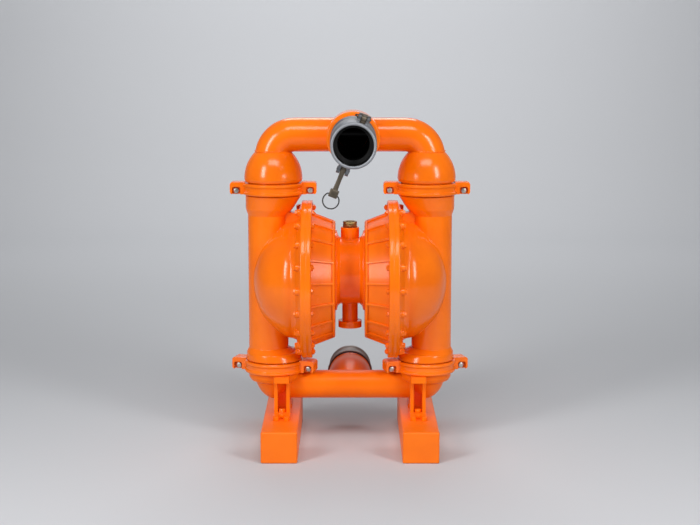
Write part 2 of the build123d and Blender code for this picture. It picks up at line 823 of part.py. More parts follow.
def centre_block():
    body = Pos(0, 0, barrel_z) * about_x([
        (-hub_x, 0),
        (-hub_x, barrel_flare_r),
        (-hub_x + barrel_flare_w, barrel_flare_r),
        (-barrel_x - 1.0, barrel_r + 5.0),
        (-barrel_x + 4.0, barrel_r),
        (barrel_x - 4.0, barrel_r),
        (barrel_x + 1.0, barrel_r + 5.0),
        (hub_x - barrel_flare_w, barrel_flare_r),
        (hub_x, barrel_flare_r),
        (hub_x, 0),
    ])
    body += rod_z(inlet_boss_r, barrel_z, inlet_boss_z)
    body += rod_z(exhaust_neck_r, barrel_z, exhaust_neck_z)
    body += rod_z(exhaust_flange_r, exhaust_neck_z, exhaust_flange_z)
    pad_h = valve_foot_h / 2
    body += block(-valve_w / 2, valve_w / 2, 0, valve_face_y, valve_z - pad_h, valve_z + pad_h)
    body -= block(
        -valve_w / 2 - 1, valve_w / 2 + 1, valve_face_y, 2 * valve_face_y,
        valve_z - pad_h - 1, valve_z + pad_h + 1,
    )
    body -= rod_x(shaft_r + shaft_play, -hub_x - 1, hub_x + 1, 0, drive_z)
    for x in (-seal_x - seal_w, seal_x):
        body -= rod_x(shaft_r + seal_depth, x, x + seal_w, 0, drive_z)
    body -= rod_z(inlet_thread_r, inlet_boss_z - inlet_thread_depth, inlet_boss_z + 1)
    body -= rod_z(exhaust_bore_r, exhaust_flange_z - 1, exhaust_neck_z + 2 * exhaust_bore_r)
    for x in (-valve_bolt_x, valve_bolt_x):
        for z in (-valve_bolt_z, valve_bolt_z):
            body -= rod_y(valve_bolt_r, valve_face_y - 16.0, valve_face_y + 1, x, valve_z + z)
    return body


def inlet_bushing():
    low = inlet_boss_z - inlet_thread_depth + 2.0
    plug = Pos(0, 0, inlet_boss_z) * Rot(0, 0, 30) * hexagon(bushing_af, bushing_h)
    crown = bushing_af / 2 / cos(radians(30))
    plug &= Pos(0, 0, inlet_boss_z) * about_z([
        (0, 0), (crown, 0), (crown, bushing_h - 3.0), (crown - 4.0, bushing_h), (0, bushing_h)
    ])
    plug += rod_z(inlet_thread_r, low, inlet_boss_z)
    return plug - rod_z(bushing_bore_r, low - 1, inlet_boss_z + bushing_h + 1)


# --------------------------------------------------------------------- air valve

def make_air_valve():
    face_y = valve_face_y + valve_gasket_t
    half_h = valve_foot_h / 2
    gasket = block(
        -valve_w / 2 + gasket_inset, valve_w / 2 - gasket_inset, valve_face_y, face_y,
        valve_z - half_h + gasket_inset, valve_z + half_h - gasket_inset,
    )
    foot = block(
        -valve_w / 2, valve_w / 2, face_y, face_y + valve_foot_t,
        valve_z - half_h, valve_z + half_h,
    )
    foot = fillet(foot.edges().filter_by(Axis.Y), 6.0)
    axis_y = face_y + valve_body_y
    low, high = valve_z - valve_body_h / 2, valve_z + valve_body_h / 2
    body = foot + rod_z(valve_body_r, low, high, 0, axis_y)
    body += block(-valve_body_r, valve_body_r, face_y, axis_y, low, high)
    body -= rod_z(valve_bore, low - 1, high + 1, 0, axis_y)
    bolts = []
    for x in (-valve_bolt_x, valve_bolt_x):
        for z in (valve_z - valve_bolt_z, valve_z + valve_bolt_z):
            hole = rod_y(valve_bolt_r + bolt_play, valve_face_y - 1, face_y + valve_foot_t + 1, x, z)
            body -= hole
            gasket -= hole
            seat_y = face_y + valve_foot_t
            head = rod_y(valve_head_r, seat_y, seat_y + valve_head_h, x, z)
            bolts.append(head + rod_y(valve_bolt_r, valve_face_y - 14.0, seat_y, x, z))
    save("air_valve_gasket", gasket)
    save("air_valve_body", body)
    save("air_valve_bolts", Compound(bolts))
    for name, z0, z1 in (("lower", low - cap_h, low), ("upper", high, high + cap_h)):
        cap = rod_z(cap_r, z0, z1, 0, axis_y)
        outer = z0 if name == "lower" else z1
        cap = chamfer(cap.edges().sort_by(Axis.Z)[0 if name == "lower" else -1], 2.0)
        save(f"air_valve_cap_{name}", cap)
    spool_r = valve_bore - spool_play
    low_end = low + spool_end_gap
    waist = spool_r * 0.62
    land = spool_l / 7
    outline = [(0, low_end)]
    for i in range(7):
        r = spool_r if i % 2 == 0 else waist
        outline += [(r, low_end + i * land), (r, low_end + (i + 1) * land)]
    outline.append((0, low_end + spool_l))
    save("valve_spool", Pos(0, axis_y, 0) * about_z(outline))


# ------------------------------------------------------------- discharge coupler

def on_coupler(shape, lower=False):
    """Place a piece made about the Y axis, arm pointing up, on the coupler."""
    turn = arm_angle + (180 if lower else 0)
    return Pos(discharge_x, 0, top_pipe_z) * Rot(0, turn, 0) * shape


def coupler():
    start = top_boss_y
    mouth = coupler_mouth_y
    bell = mouth - coupler_bell_l
    outline = [
        (coupler_bore_r, start - boss_thread_depth + 2),
        (top_boss_thread_r, start - boss_thread_depth + 2),
        (top_boss_thread_r, start),
        (coupler_collar_r, start),
        (coupler_collar_r, start + coupler_collar_w),
        (coupler_waist_r, start + coupler_collar_w + 8),
        (coupler_waist_r, bell - 10),
        (coupler_bell_r, bell),
        (coupler_bell_r, mouth - mouth_chamfer),
        (coupler_bell_r - mouth_chamfer, mouth),
        (mouth_bore_r + mouth_chamfer, mouth),
        (mouth_bore_r, mouth - mouth_chamfer),
        (mouth_bore_r, mouth - mouth_depth),
        (coupler_gasket_r + seat_play, mouth - mouth_depth),
        (coupler_gasket_r + seat_play, mouth - mouth_depth - coupler_gasket_t),
        (coupler_bore_r, mouth - mouth_depth - coupler_gasket_t),
    ]
    body = about_y([(r, -y) for r, y in outline])
    lug_side = arm_w / 2 + arm_side
    for turn in (0, 180):
        for x in (-lug_side - lug_t, lug_side):
            lug = block(
                x, x + lug_t, pin_y - lug_r, pin_y + lug_r, coupler_bell_r - 5, pin_height
            )
            lug += rod_x(lug_r, x, x + lug_t, pin_y, pin_height)
            body += Rot(0, turn, 0) * lug
        window = block(
            -lug_side, lug_side, pin_y - window_front, pin_y + window_back,
            coupler_bore_r + 1, pin_height,
        )
        hole = rod_x(pin_r, -ear_reach, ear_reach, pin_y, pin_height)
        body -= Rot(0, turn, 0) * (window + hole)
    return Pos(discharge_x, 0, top_pipe_z) * Rot(0, arm_angle, 0) * body


def cam_arm():
    """Arm with its cam lobe inwards and its lever along the coupler, arm up."""
    hub = rod_x(arm_hub_r, -arm_w / 2, arm_w / 2, pin_y, pin_height)
    lobe = rod_x(lobe_r, -arm_w / 2, arm_w / 2, pin_y, pin_height - lobe_off)
    lever_low = pin_height - 1.0
    tip_y = pin_y + arm_l
    side = Plane.YZ * make_face(Polyline(
        (pin_y, pin_height + arm_hub_r),
        (pin_y, lever_low),
        (tip_y, lever_low),
        (tip_y, lever_low + arm_t),
        (pin_y + arm_l * 0.5, lever_low + arm_t + 1.0),
        close=True,
    ))
    lever = extrude(side, arm_w / 2, both=True)
    barrel_h = lever_low + arm_t / 2
    barrel = rod_x(barrel_pin_r, -barrel_pin_l / 2, barrel_pin_l / 2, tip_y, barrel_h)
    arm = hub + lobe + lever + barrel
    arm -= rod_x(pin_r + pin_play, -arm_w, arm_w, pin_y, pin_height)
    arm -= rod_x(wire_r + wire_play, -barrel_pin_l, barrel_pin_l, tip_y, barrel_h)
    return arm


def finger_ring():
    """Wire ring whose straight side runs through the origin along X, ring below."""
    half = barrel_pin_l / 2 + 1.5
    drop = sqrt(finger_ring_r**2 - half**2)
    section = Plane(
        origin=(half, 0, 0), x_dir=(0, 1, 0), z_dir=(drop, 0, half)
    ) * Circle(wire_r)
    path = ThreePointArc((half, 0, 0), (0, 0, -drop - finger_ring_r), (-half, 0, 0))
    ring = sweep(section, path=path)
    ring += rod_x(wire_r, -half, half)
    for x in (-half, half):
        ring += Pos(x, 0, 0) * Sphere(wire_r)
    return ring


def make_coupler():
    save("discharge_coupler", coupler())
    seat_y = coupler_mouth_y - mouth_depth
    gasket = about_y([
        (coupler_bore_r, -seat_y),
        (coupler_gasket_r, -seat_y),
        (coupler_gasket_r, -seat_y + coupler_gasket_t),
        (coupler_bore_r, -seat_y + coupler_gasket_t),
    ])
    save("coupler_gasket", Pos(discharge_x, 0, top_pipe_z) * gasket)
    pin_end = arm_w / 2 + arm_side + lug_t + 1.0
    pin = rod_x(pin_r, -pin_end, pin_end, pin_y, pin_height)
    arm = cam_arm()
    hole_y = pin_y + arm_l
    hole_h = pin_height - 1.0 + arm_t / 2
    ring = finger_ring()
    # The upper arm lies back along the coupler, with its ring tipped onto the bell.
    save("arm_pin_upper", on_coupler(pin))
    save("cam_arm_upper", on_coupler(arm))
    half = barrel_pin_l / 2 + 1.5
    reach = finger_ring_r + sqrt(finger_ring_r**2 - half**2)
    tip = degrees(asin((hole_h - coupler_bell_r - wire_r - ring_rest) / reach))
    ring_up = Pos(0, hole_y, hole_h) * Rot(90 - tip, 0, 0) * ring
    save("finger_ring_upper", on_coupler(ring_up))
    # The lower arm hangs open, square to the coupler, with its ring below it.
    swing = Pos(0, pin_y, pin_height) * Rot(90, 0, 0) * Pos(0, -pin_y, -pin_height)
    save("arm_pin_lower", on_coupler(pin, lower=True))
    save("cam_arm_lower", on_coupler(swing * arm, lower=True))
    ring_down = swing * Pos(0, hole_y, hole_h) * Rot(90, 0, 0) * ring
    save("finger_ring_lower", on_coupler(ring_down, lower=True))


# --------------------------------------------------------------- suction adapter

def suction_adapter():
    start = low_boss_y
    collar = start + adapter_groove_w
    collar_end = collar + adapter_collar_w
    neck = collar_end + adapter_neck_l
    end = neck + adapter_end_l
    outline = [
        (adapter_step_r, start - boss_thread_depth + 2),
        (adapter_thread_r, start - boss_thread_depth + 2),
        (adapter_thread_r, start),
        (adapter_groove_r, start),
        (adapter_groove_r, collar),
        (adapter_collar_r - 1, collar),
        (adapter_collar_r, collar + 1),
        (adapter_collar_r, collar_end - 3),
        (adapter_collar_r - 3, collar_end),
        (adapter_neck_r, collar_end + adapter_round),
        (adapter_neck_r, neck - adapter_round),
        (adapter_end_r, neck),
        (adapter_end_r, end - 2),
        (adapter_end_r - 2, end),
        (adapter_bore_r + 2, end),
        (adapter_bore_r, end - 2),
        (adapter_bore_r, start + 4),
        (adapter_step_r, start - 1),
    ]
    return Pos(0, 0, low_pipe_z) * about_y(outline)


# ------------------------------------------------------------------------- build

save("discharge_manifold", discharge_manifold())
save("inlet_manifold", inlet_manifold())
both_sides("liquid_chamber", liquid_chamber())
both_sides("air_chamber", air_chamber())
save("centre_block", centre_block())
save("air_inlet_bushing", inlet_bushing())
save("suction_adapter", suction_adapter())
both_sides("ring_bolts", Compound(bolt_circle(ring_bolt()) + bolt_circle(ring_nut())))
make_clamps()
make_valves()
make_feet()
make_drive()
make_air_valve()
make_coupler()
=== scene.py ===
import json
import math

import bmesh
import bpy
from mathutils import Matrix, Vector


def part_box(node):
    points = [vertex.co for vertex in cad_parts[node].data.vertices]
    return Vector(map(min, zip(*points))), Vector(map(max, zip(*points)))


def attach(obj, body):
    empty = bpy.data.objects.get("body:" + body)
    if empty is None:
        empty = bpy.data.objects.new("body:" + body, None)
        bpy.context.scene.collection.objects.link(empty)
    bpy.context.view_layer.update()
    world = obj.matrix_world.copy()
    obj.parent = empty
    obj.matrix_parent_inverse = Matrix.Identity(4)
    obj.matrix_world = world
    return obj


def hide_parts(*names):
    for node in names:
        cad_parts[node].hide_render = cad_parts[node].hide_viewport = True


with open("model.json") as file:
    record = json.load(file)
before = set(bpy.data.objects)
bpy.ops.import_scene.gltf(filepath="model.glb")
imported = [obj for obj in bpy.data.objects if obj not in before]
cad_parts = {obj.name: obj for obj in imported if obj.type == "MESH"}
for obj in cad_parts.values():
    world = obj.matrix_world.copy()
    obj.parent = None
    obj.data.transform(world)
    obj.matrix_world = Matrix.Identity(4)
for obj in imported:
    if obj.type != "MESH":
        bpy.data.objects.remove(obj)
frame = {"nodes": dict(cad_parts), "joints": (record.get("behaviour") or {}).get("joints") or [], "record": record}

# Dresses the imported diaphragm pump: enamelled castings, bare coupler, hardware, studio.
# Metres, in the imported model's frame: X along the drive shaft, discharge to -Y, Z up.

SCENE = bpy.context.scene
NODES = frame["nodes"]
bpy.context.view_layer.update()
TAU = 2 * math.pi


def corners(node):
    """Lowest and highest corner of a CAD node as vectors."""
    low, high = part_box(node)
    return Vector(low), Vector(high)


def middle(node):
    low, high = corners(node)
    return (low + high) / 2


# --------------------------------------------------------------- sizes from the frame

COUPLER_AXIS = middle("coupler_gasket")
MOUTH_Y = corners("discharge_coupler")[0].y
MOUTH_BORE_R = 0.0462
RIM_EDGE = 0.0025           # chamfer round the coupler's mouth
BELL_R = 0.0565             # coupler's bell; what stands further out is a lug
BELL_SKIN = (0.0032, 0.0004)    # how far in and out of the bell's radius its skin lies
BELL_SLIMMING = 0.0026      # how far the shown bell is drawn in at its mouth
SLIMMING_START_Y = -0.22
SLIMMING_RUN = 0.08         # length over which it grows to the full amount
BOSS_START_Y = -0.02        # the port boss of the manifold lies in front of this
LOWER_LUG_SHADE = 0.35      # share of the upper lugs' painted shade that the lower lugs get
PIPE_SKIN_R = 0.0395        # between the bore and the outside of the top pipe
PORT_SKIN_R = 0.0392        # just outside the port's bore

# Hexagon hardware: across flats, head height, shank radius, thread pitch
M8 = {"flats": 0.013, "head": 0.0053, "shank": 0.004, "pitch": 0.00125}
M12 = {"flats": 0.019, "head": 0.0075, "shank": 0.006, "pitch": 0.00175}
THREAD_DEPTH = 0.45         # of the pitch
ROLL_SEED = 7               # of the fasteners' random turn about their own axis
CAP_SCREW_R = 0.006
CAP_SCREW_H = 0.008
CAP_SCREW_KEY = 0.0066      # across the flats of its hexagon socket

PULL_RING_R = 0.019
PULL_RING_BAR = 0.012       # half the length of the ring's straight side
PULL_RING_WIRE = 0.0016

# Cam arms: lever along the arm's own Y, hinge along X, measured from the hinge
LEVER_RISE = 0.0025         # ring hole off the lever's line
LEVER_HUB_R = 0.0088
LEVER_LOBE_R = 0.0073
LEVER_LOBE_DROP = 0.0075
LEVER_HALF = 0.0062         # half the lever's width at the hub
SLEEVE_HALF = 0.0105        # half the width of the sleeve that holds the ring
SLEEVE_R = 0.0063
SLEEVE_BACK = 0.0125        # how far the sleeve runs back over the lever

DRIVE_Z = middle("main_shaft").z
COLUMN_X = middle("valve_seat_lower_right").x
LOW_JOINT_Z = corners("seat_ring_lower_right")[1].z
ADAPTER_Z = middle("suction_adapter").z
BOSS_END_Y = corners("inlet_manifold")[1].y


# ------------------------------------------------------------------ shader node groups

def new_group(name, inputs, outputs):
    """Shader node group with float or colour sockets given as (name, kind, default)."""
    group = bpy.data.node_groups.new(name, "ShaderNodeTree")
    for label, kind, value in inputs:
        socket = group.interface.new_socket(label, in_out="INPUT", socket_type=kind)
        if value is not None:
            socket.default_value = value
    for label, kind in outputs:
        group.interface.new_socket(label, in_out="OUTPUT", socket_type=kind)
    start = group.nodes.new("NodeGroupInput")
    end = group.nodes.new("NodeGroupOutput")
    return group, start, end


def link(tree, source, target):
    tree.links.new(source, target)


def feed(tree, socket, value):
    """Link a socket or set a constant."""
    if isinstance(value, (int, float, tuple)):
        socket.default_value = value
    else:
        link(tree, value, socket)


def noise(tree, coords, scale, detail=3.0, roughness=0.55):
    """Noise texture on the given coordinates; scale is a number or a socket."""
    node = tree.nodes.new("ShaderNodeTexNoise")
    node.inputs["Detail"].default_value = detail
    node.inputs["Roughness"].default_value = roughness
    link(tree, coords, node.inputs["Vector"])
    feed(tree, node.inputs["Scale"], scale)
    return node.outputs["Fac"]


def remap(tree, value, low, high, to_low=0.0, to_high=1.0):
    node = tree.nodes.new("ShaderNodeMapRange")
    link(tree, value, node.inputs["Value"])
    limits = {"From Min": low, "From Max": high, "To Min": to_low, "To Max": to_high}
    for label, number in limits.items():
        feed(tree, node.inputs[label], number)
    return node.outputs["Result"]


def maths(tree, operation, a, b):
    node = tree.nodes.new("ShaderNodeMath")
    node.operation = operation
    feed(tree, node.inputs[0], a)
    feed(tree, node.inputs[1], b)
    return node.outputs["Value"]


def function_of(tree, operation, value):
    """Maths node that takes a single value, such as SINE or SQRT."""
    node = tree.nodes.new("ShaderNodeMath")
    node.operation = operation
    link(tree, value, node.inputs[0])
    return node.outputs["Value"]


def blend_colour(tree, factor, a, b):
    node = tree.nodes.new("ShaderNodeMix")
    node.data_type = "RGBA"
    sockets = [s for s in node.inputs if s.enabled]
    for socket, value in zip(sockets, (factor, a, b)):
        feed(tree, socket, value)
    return [s for s in node.outputs if s.enabled][0]


def object_coords(tree):
    return tree.nodes.new("ShaderNodeTexCoord").outputs["Object"]


def split(tree, vector):
    node = tree.nodes.new("ShaderNodeSeparateXYZ")
    link(tree, vector, node.inputs["Vector"])
    return node.outputs["X"], node.outputs["Y"], node.outputs["Z"]


def make_cast_skin():
    """Slow waviness and fine pits of a sand casting under paint."""
    group, start, end = new_group(
        "cast_skin",
        [("Grain Scale", "NodeSocketFloat", 420.0), ("Grain", "NodeSocketFloat", 0.3),
         ("Wave Scale", "NodeSocketFloat", 26.0), ("Wave", "NodeSocketFloat", 0.7)],
        [("Height", "NodeSocketFloat"), ("Pits", "NodeSocketFloat")],
    )
    coords = object_coords(group)
    grain = noise(group, coords, start.outputs["Grain Scale"], 2.0)
    wave = noise(group, coords, start.outputs["Wave Scale"], 2.0, 0.4)
    fine = maths(group, "MULTIPLY", grain, start.outputs["Grain"])
    slow = maths(group, "MULTIPLY", wave, start.outputs["Wave"])
    link(group, maths(group, "ADD", fine, slow), end.inputs["Height"])
    link(group, remap(group, grain, 0.62, 0.78), end.inputs["Pits"])
    return group


def make_tone_drift():
    """Cloudy drift between two colours, with a little dust on top faces."""
    group, start, end = new_group(
        "tone_drift",
        [("Tone", "NodeSocketColor", (0.8, 0.8, 0.8, 1)),
         ("Deep Tone", "NodeSocketColor", (0.6, 0.6, 0.6, 1)),
         ("Dust Tone", "NodeSocketColor", (0.5, 0.42, 0.36, 1)),
         ("Dust", "NodeSocketFloat", 0.1), ("Scale", "NodeSocketFloat", 9.0)],
        [("Color", "NodeSocketColor"), ("Mask", "NodeSocketFloat")],
    )
    coords = object_coords(group)
    cloud = remap(group, noise(group, coords, start.outputs["Scale"], 4.0), 0.35, 0.65)
    base = blend_colour(group, cloud, start.outputs["Deep Tone"], start.outputs["Tone"])
    normal = group.nodes.new("ShaderNodeNewGeometry").outputs["Normal"]
    upward = remap(group, split(group, normal)[2], 0.55, 1.0)
    speck = remap(group, noise(group, coords, 60.0, 5.0), 0.4, 0.7)
    amount = maths(group, "MULTIPLY", upward, speck)
    amount = maths(group, "MULTIPLY", amount, start.outputs["Dust"])
    link(group, blend_colour(group, amount, base, start.outputs["Dust Tone"]), end.inputs["Color"])
    link(group, cloud, end.inputs["Mask"])
    return group


def make_soft_edge():
    """Normal of an edge rounded as castings and thick paint round it."""
    group, start, end = new_group(
        "soft_edge", [("Radius", "NodeSocketFloat", 0.002)], [("Normal", "NodeSocketVector")]
    )
    bevel = group.nodes.new("ShaderNodeBevel")
    bevel.samples = 6
    link(group, start.outputs["Radius"], bevel.inputs["Radius"])
    link(group, bevel.outputs["Normal"], end.inputs["Normal"])
    return group


def make_turning_marks():
    """Fine rings left by a lathe about an axis along Y, and the distance from it."""
    group, start, end = new_group(
        "turning_marks",
        [("Axis X", "NodeSocketFloat", 0.0), ("Axis Z", "NodeSocketFloat", 0.0),
         ("Pitch", "NodeSocketFloat", 900.0)],
        [("Height", "NodeSocketFloat"), ("Radius", "NodeSocketFloat")],
    )
    x, y, z = split(group, object_coords(group))
    x = maths(group, "SUBTRACT", x, start.outputs["Axis X"])
    z = maths(group, "SUBTRACT", z, start.outputs["Axis Z"])
    square = maths(group, "ADD", maths(group, "MULTIPLY", x, x), maths(group, "MULTIPLY", z, z))
    radius = function_of(group, "SQRT", square)
    turns = maths(group, "MULTIPLY", maths(group, "ADD", radius, y), start.outputs["Pitch"])
    wave = function_of(group, "SINE", maths(group, "MULTIPLY", turns, TAU))
    link(group, wave, end.inputs["Height"])
    link(group, radius, end.inputs["Radius"])
    return group


CAST_SKIN = make_cast_skin()
TONE_DRIFT = make_tone_drift()
SOFT_EDGE = make_soft_edge()
TURNING_MARKS = make_turning_marks()


# --------------------------------------------------------------------------- materials

def use_group(tree, group, **values):
    node = tree.nodes.new("ShaderNodeGroup")
    node.node_tree = group
    for label, value in values.items():
        node.inputs[label.replace("_", " ")].default_value = value
    return node


def start_material(name, roughness, metallic=0.0, coat=0.0, coat_roughness=0.1, specular=0.5):
    material = bpy.data.materials.new(name)
    material.use_nodes = True
    tree = material.node_tree
    shader = tree.nodes["Principled BSDF"]
    shader.inputs["Roughness"].default_value = roughness
    shader.inputs["Metallic"].default_value = metallic
    shader.inputs["Coat Weight"].default_value = coat
    shader.inputs["Coat Roughness"].default_value = coat_roughness
    shader.inputs["Specular IOR Level"].default_value = specular
    return material, tree, shader


def colour(r, g, b):
    return (r, g, b, 1.0)


def finish_surface(tree, shader, tone, deep, dust=0.0, drift=9.0, rough=(0.25, 0.35),
                   grain=(420.0, 0.3), wave=(26.0, 0.7), relief=0.0004, strength=0.5, edge=0.0):
    """Colour drift, roughness drift, casting relief and softened edges on a shader."""
    tones = use_group(tree, TONE_DRIFT, Tone=tone, Deep_Tone=deep, Dust=dust, Scale=drift)
    skin = use_group(
        tree, CAST_SKIN, Grain_Scale=grain[0], Grain=grain[1], Wave_Scale=wave[0], Wave=wave[1]
    )
    link(tree, tones.outputs["Color"], shader.inputs["Base Color"])
    gloss = remap(tree, tones.outputs["Mask"], 0.0, 1.0, rough[0], rough[1])
    link(tree, gloss, shader.inputs["Roughness"])
    bump = tree.nodes.new("ShaderNodeBump")
    bump.inputs["Strength"].default_value = strength
    bump.inputs["Distance"].default_value = relief
    link(tree, skin.outputs["Height"], bump.inputs["Height"])
    if edge:
        soft = use_group(tree, SOFT_EDGE, Radius=edge)
        link(tree, soft.outputs["Normal"], bump.inputs["Normal"])
    link(tree, bump.outputs["Normal"], shader.inputs["Normal"])
    return tones, skin, bump


ORANGE = colour(1.0, 0.190, 0.001)
DEEP_ORANGE = colour(0.92, 0.160, 0.001)
# Near-black painted shade for the deep bores of the coupler and the top pipe.
PAINTED_BORE_SHADE = colour(0.010, 0.009, 0.008)


def orange_enamel(name, rough=(0.16, 0.22), wave=0.4, grain=0.12, edge=0.0025, coat=0.10,
                  specular=0.38):
    """Gloss enamel: clear orange, a little deeper in clouds, over a cast skin."""
    material, tree, shader = start_material(
        name, 0.3, coat=coat, coat_roughness=0.06, specular=specular
    )
    finish_surface(
        tree, shader, ORANGE, DEEP_ORANGE, dust=0.04, rough=rough,
        grain=(420.0, grain), wave=(26.0, wave), relief=0.0005, strength=0.45, edge=edge,
    )
    return material


def manifold_enamel():
    """The same enamel outside, and painted shade in the bore behind the coupler."""
    material = orange_enamel("orange_enamel_manifold")
    tree = material.node_tree
    shader = tree.nodes["Principled BSDF"]
    paint = shader.inputs["Base Color"].links[0].from_socket
    port = use_group(tree, TURNING_MARKS, Axis_X=COUPLER_AXIS.x, Axis_Z=COUPLER_AXIS.z, Pitch=0.0)
    x, y, z = split(tree, object_coords(tree))
    rise = maths(tree, "SUBTRACT", z, COUPLER_AXIS.z)
    square = maths(tree, "ADD", maths(tree, "MULTIPLY", y, y), maths(tree, "MULTIPLY", rise, rise))
    off_pipe = function_of(tree, "SQRT", square)
    in_pipe = maths(tree, "LESS_THAN", off_pipe, PIPE_SKIN_R)
    in_boss = maths(tree, "LESS_THAN", y, BOSS_START_Y)
    near_port = maths(tree, "LESS_THAN", port.outputs["Radius"], PORT_SKIN_R)
    # Painted shade: the bore of the top pipe and the port near the coupler turn near-black.
    bore_shade_mask = maths(tree, "MULTIPLY", maths(tree, "MAXIMUM", in_pipe, in_boss), near_port)
    link(tree, blend_colour(tree, bore_shade_mask, paint, PAINTED_BORE_SHADE), shader.inputs["Base Color"])
    return material


def bare_metal(name, tone, deep, rough, grain=0.6, edge=0.0008, metallic=1.0, relief=0.0003):
    material, tree, shader = start_material(name, rough[0], metallic=metallic)
    finish_surface(
        tree, shader, tone, deep, drift=30.0, rough=rough,
        grain=(900.0, grain), wave=(60.0, 0.4), relief=relief, edge=edge,
    )
    return material


def coupler_metal():
    """Sand-cast aluminium, a turned rim at the mouth, painted shade in the bore and painted shade on the lugs,
    deepest on the upper ones.
    """
    material, tree, shader = start_material("coupler_cast_aluminium", 0.5, metallic=0.55)
    tones, skin, bump = finish_surface(
        tree, shader, colour(0.235, 0.245, 0.265), colour(0.15, 0.158, 0.175), drift=26.0,
        rough=(0.42, 0.58), grain=(700.0, 0.9), wave=(70.0, 0.6), relief=0.0006, edge=0.0015,
    )
    marks = use_group(
        tree, TURNING_MARKS, Axis_X=COUPLER_AXIS.x, Axis_Z=COUPLER_AXIS.z, Pitch=900.0
    )
    y = split(tree, object_coords(tree))[1]
    at_rim = remap(tree, y, MOUTH_Y + RIM_EDGE + 0.002, MOUTH_Y + RIM_EDGE + 0.0005)
    # Painted shade over the bore, from just outside its radius inwards.
    bore_shade = remap(tree, marks.outputs["Radius"], MOUTH_BORE_R + 0.0014, MOUTH_BORE_R + 0.0002)
    z = split(tree, object_coords(tree))[2]
    # Painted shade on the lugs: full on the upper lugs above the axis, weaker on the lower ones.
    above = maths(tree, "GREATER_THAN", z, COUPLER_AXIS.z)
    lug_shade = remap(tree, marks.outputs["Radius"], BELL_R, BELL_R + 0.0012)
    lug_shade = maths(tree, "MULTIPLY", lug_shade, maths(tree, "MAXIMUM", above, LOWER_LUG_SHADE))
    rim_tone = blend_colour(tree, at_rim, tones.outputs["Color"], colour(0.27, 0.28, 0.30))
    lug_shade_tone = blend_colour(tree, lug_shade, rim_tone, colour(0.085, 0.085, 0.088))
    link(tree, blend_colour(tree, bore_shade, lug_shade_tone, PAINTED_BORE_SHADE), shader.inputs["Base Color"])
    return material


MATERIALS = {
    "orange_casting": orange_enamel("orange_enamel_casting"),
    "air_chamber": orange_enamel(
        "orange_enamel_air_chamber", rough=(0.27, 0.35), coat=0.04, specular=0.26
    ),
    "orange_clamp": orange_enamel("orange_enamel_clamp", wave=0.5, edge=0.0015),
    "orange_beam": orange_enamel(
        "orange_enamel_beam", rough=(0.38, 0.46), wave=0.3, grain=0.12, edge=0.003, coat=0.0
    ),
    "painted_fastener": orange_enamel("orange_enamel_fastener", wave=0.2, edge=0.0006),
    "zinc_fastener": bare_metal(
        "zinc_plate", colour(0.62, 0.60, 0.56), colour(0.44, 0.42, 0.39), (0.3, 0.45)
    ),
    "brass": bare_metal(
        "dull_brass", colour(0.40, 0.29, 0.11), colour(0.16, 0.11, 0.045), (0.35, 0.5)
    ),
    "coupler_aluminium": coupler_metal(),
    "adapter_grey": bare_metal(
        "adapter_cast_grey", colour(0.42, 0.40, 0.38), colour(0.28, 0.26, 0.24),
        (0.45, 0.6), metallic=0.35,
    ),
    "arm_bronze": bare_metal(
        "dark_bronze", colour(0.165, 0.135, 0.10), colour(0.09, 0.072, 0.052),
        (0.42, 0.58), metallic=0.75,
    ),
    "steel_wire": bare_metal(
        "dark_wire", colour(0.045, 0.043, 0.04), colour(0.028, 0.027, 0.026), (0.55, 0.7),
        edge=0.0, metallic=0.2,
    ),
    "rubber": bare_metal(
        "black_rubber", colour(0.012, 0.012, 0.012), colour(0.007, 0.007, 0.007),
        (0.7, 0.85), metallic=0.0,
    ),
    "inner_aluminium": bare_metal(
        "turned_aluminium", colour(0.6, 0.6, 0.6), colour(0.5, 0.5, 0.5), (0.3, 0.4)
    ),
    "steel_shaft": bare_metal(
        "ground_steel", colour(0.55, 0.55, 0.56), colour(0.45, 0.45, 0.46), (0.2, 0.3)
    ),
}

SLOT_OF = {part["node"]: part["material_slot"] for part in frame["record"]["subparts"]}

for node, obj in NODES.items():
    obj.data.materials.clear()
    obj.data.materials.append(MATERIALS[SLOT_OF[node]])
NODES["discharge_manifold"].data.materials[0] = manifold_enamel()
for node in ("air_chamber_left", "air_chamber_right"):
    NODES[node].data.materials[0] = MATERIALS["air_chamber"]
NODES["inlet_manifold"].data.materials[0] = orange_enamel(
    "orange_enamel_inlet", rough=(0.30, 0.38), coat=0.0, specular=0.2
)


# ----------------------------------------------------------------------- turned shapes

def radius_at(r, angle, height):
    return r(angle, height) if callable(r) else r


def turn_rows(build, rows, columns=36, place=None, ring=False):
    """Closed shape through rows of (height, radius, shift along X) about Z.

    A radius of 0 is a pole, and the shift may be left out.
    """
    place = place or Matrix.Identity(4)
    loops = []
    for height, r, *shift in rows:
        if r == 0:
            loops.append([build.verts.new(place @ Vector((0, 0, height)))])
            continue
        loop = []
        for i in range(columns):
            a = TAU * i / columns
            size = radius_at(r, a, height)
            point = Vector((size * math.cos(a) + sum(shift), size * math.sin(a), height))
            loop.append(build.verts.new(place @ point))
        loops.append(loop)
    pairs = list(zip(loops, loops[1:]))
    if ring:
        pairs.append((loops[-1], loops[0]))
    for low, high in pairs:
        for i in range(columns):
            j = (i + 1) % columns
            if len(low) == 1:
                build.faces.new((low[0], high[j], high[i]))
            elif len(high) == 1:
                build.faces.new((low[i], low[j], high[0]))
            else:
                build.faces.new((low[i], low[j], high[j], high[i]))


def hexagon(flats, cone=None):
    """Radius of a hexagon at an angle, cut back by a cone given as (height, radius)."""
    def size(angle, height):
        off = (angle + math.pi / 6) % (math.pi / 3) - math.pi / 6
        flat = flats / 2 / math.cos(off)
        if cone is None:
            return flat
        return min(flat, cone[1] + abs(cone[0] - height) * math.sqrt(3))
    return size


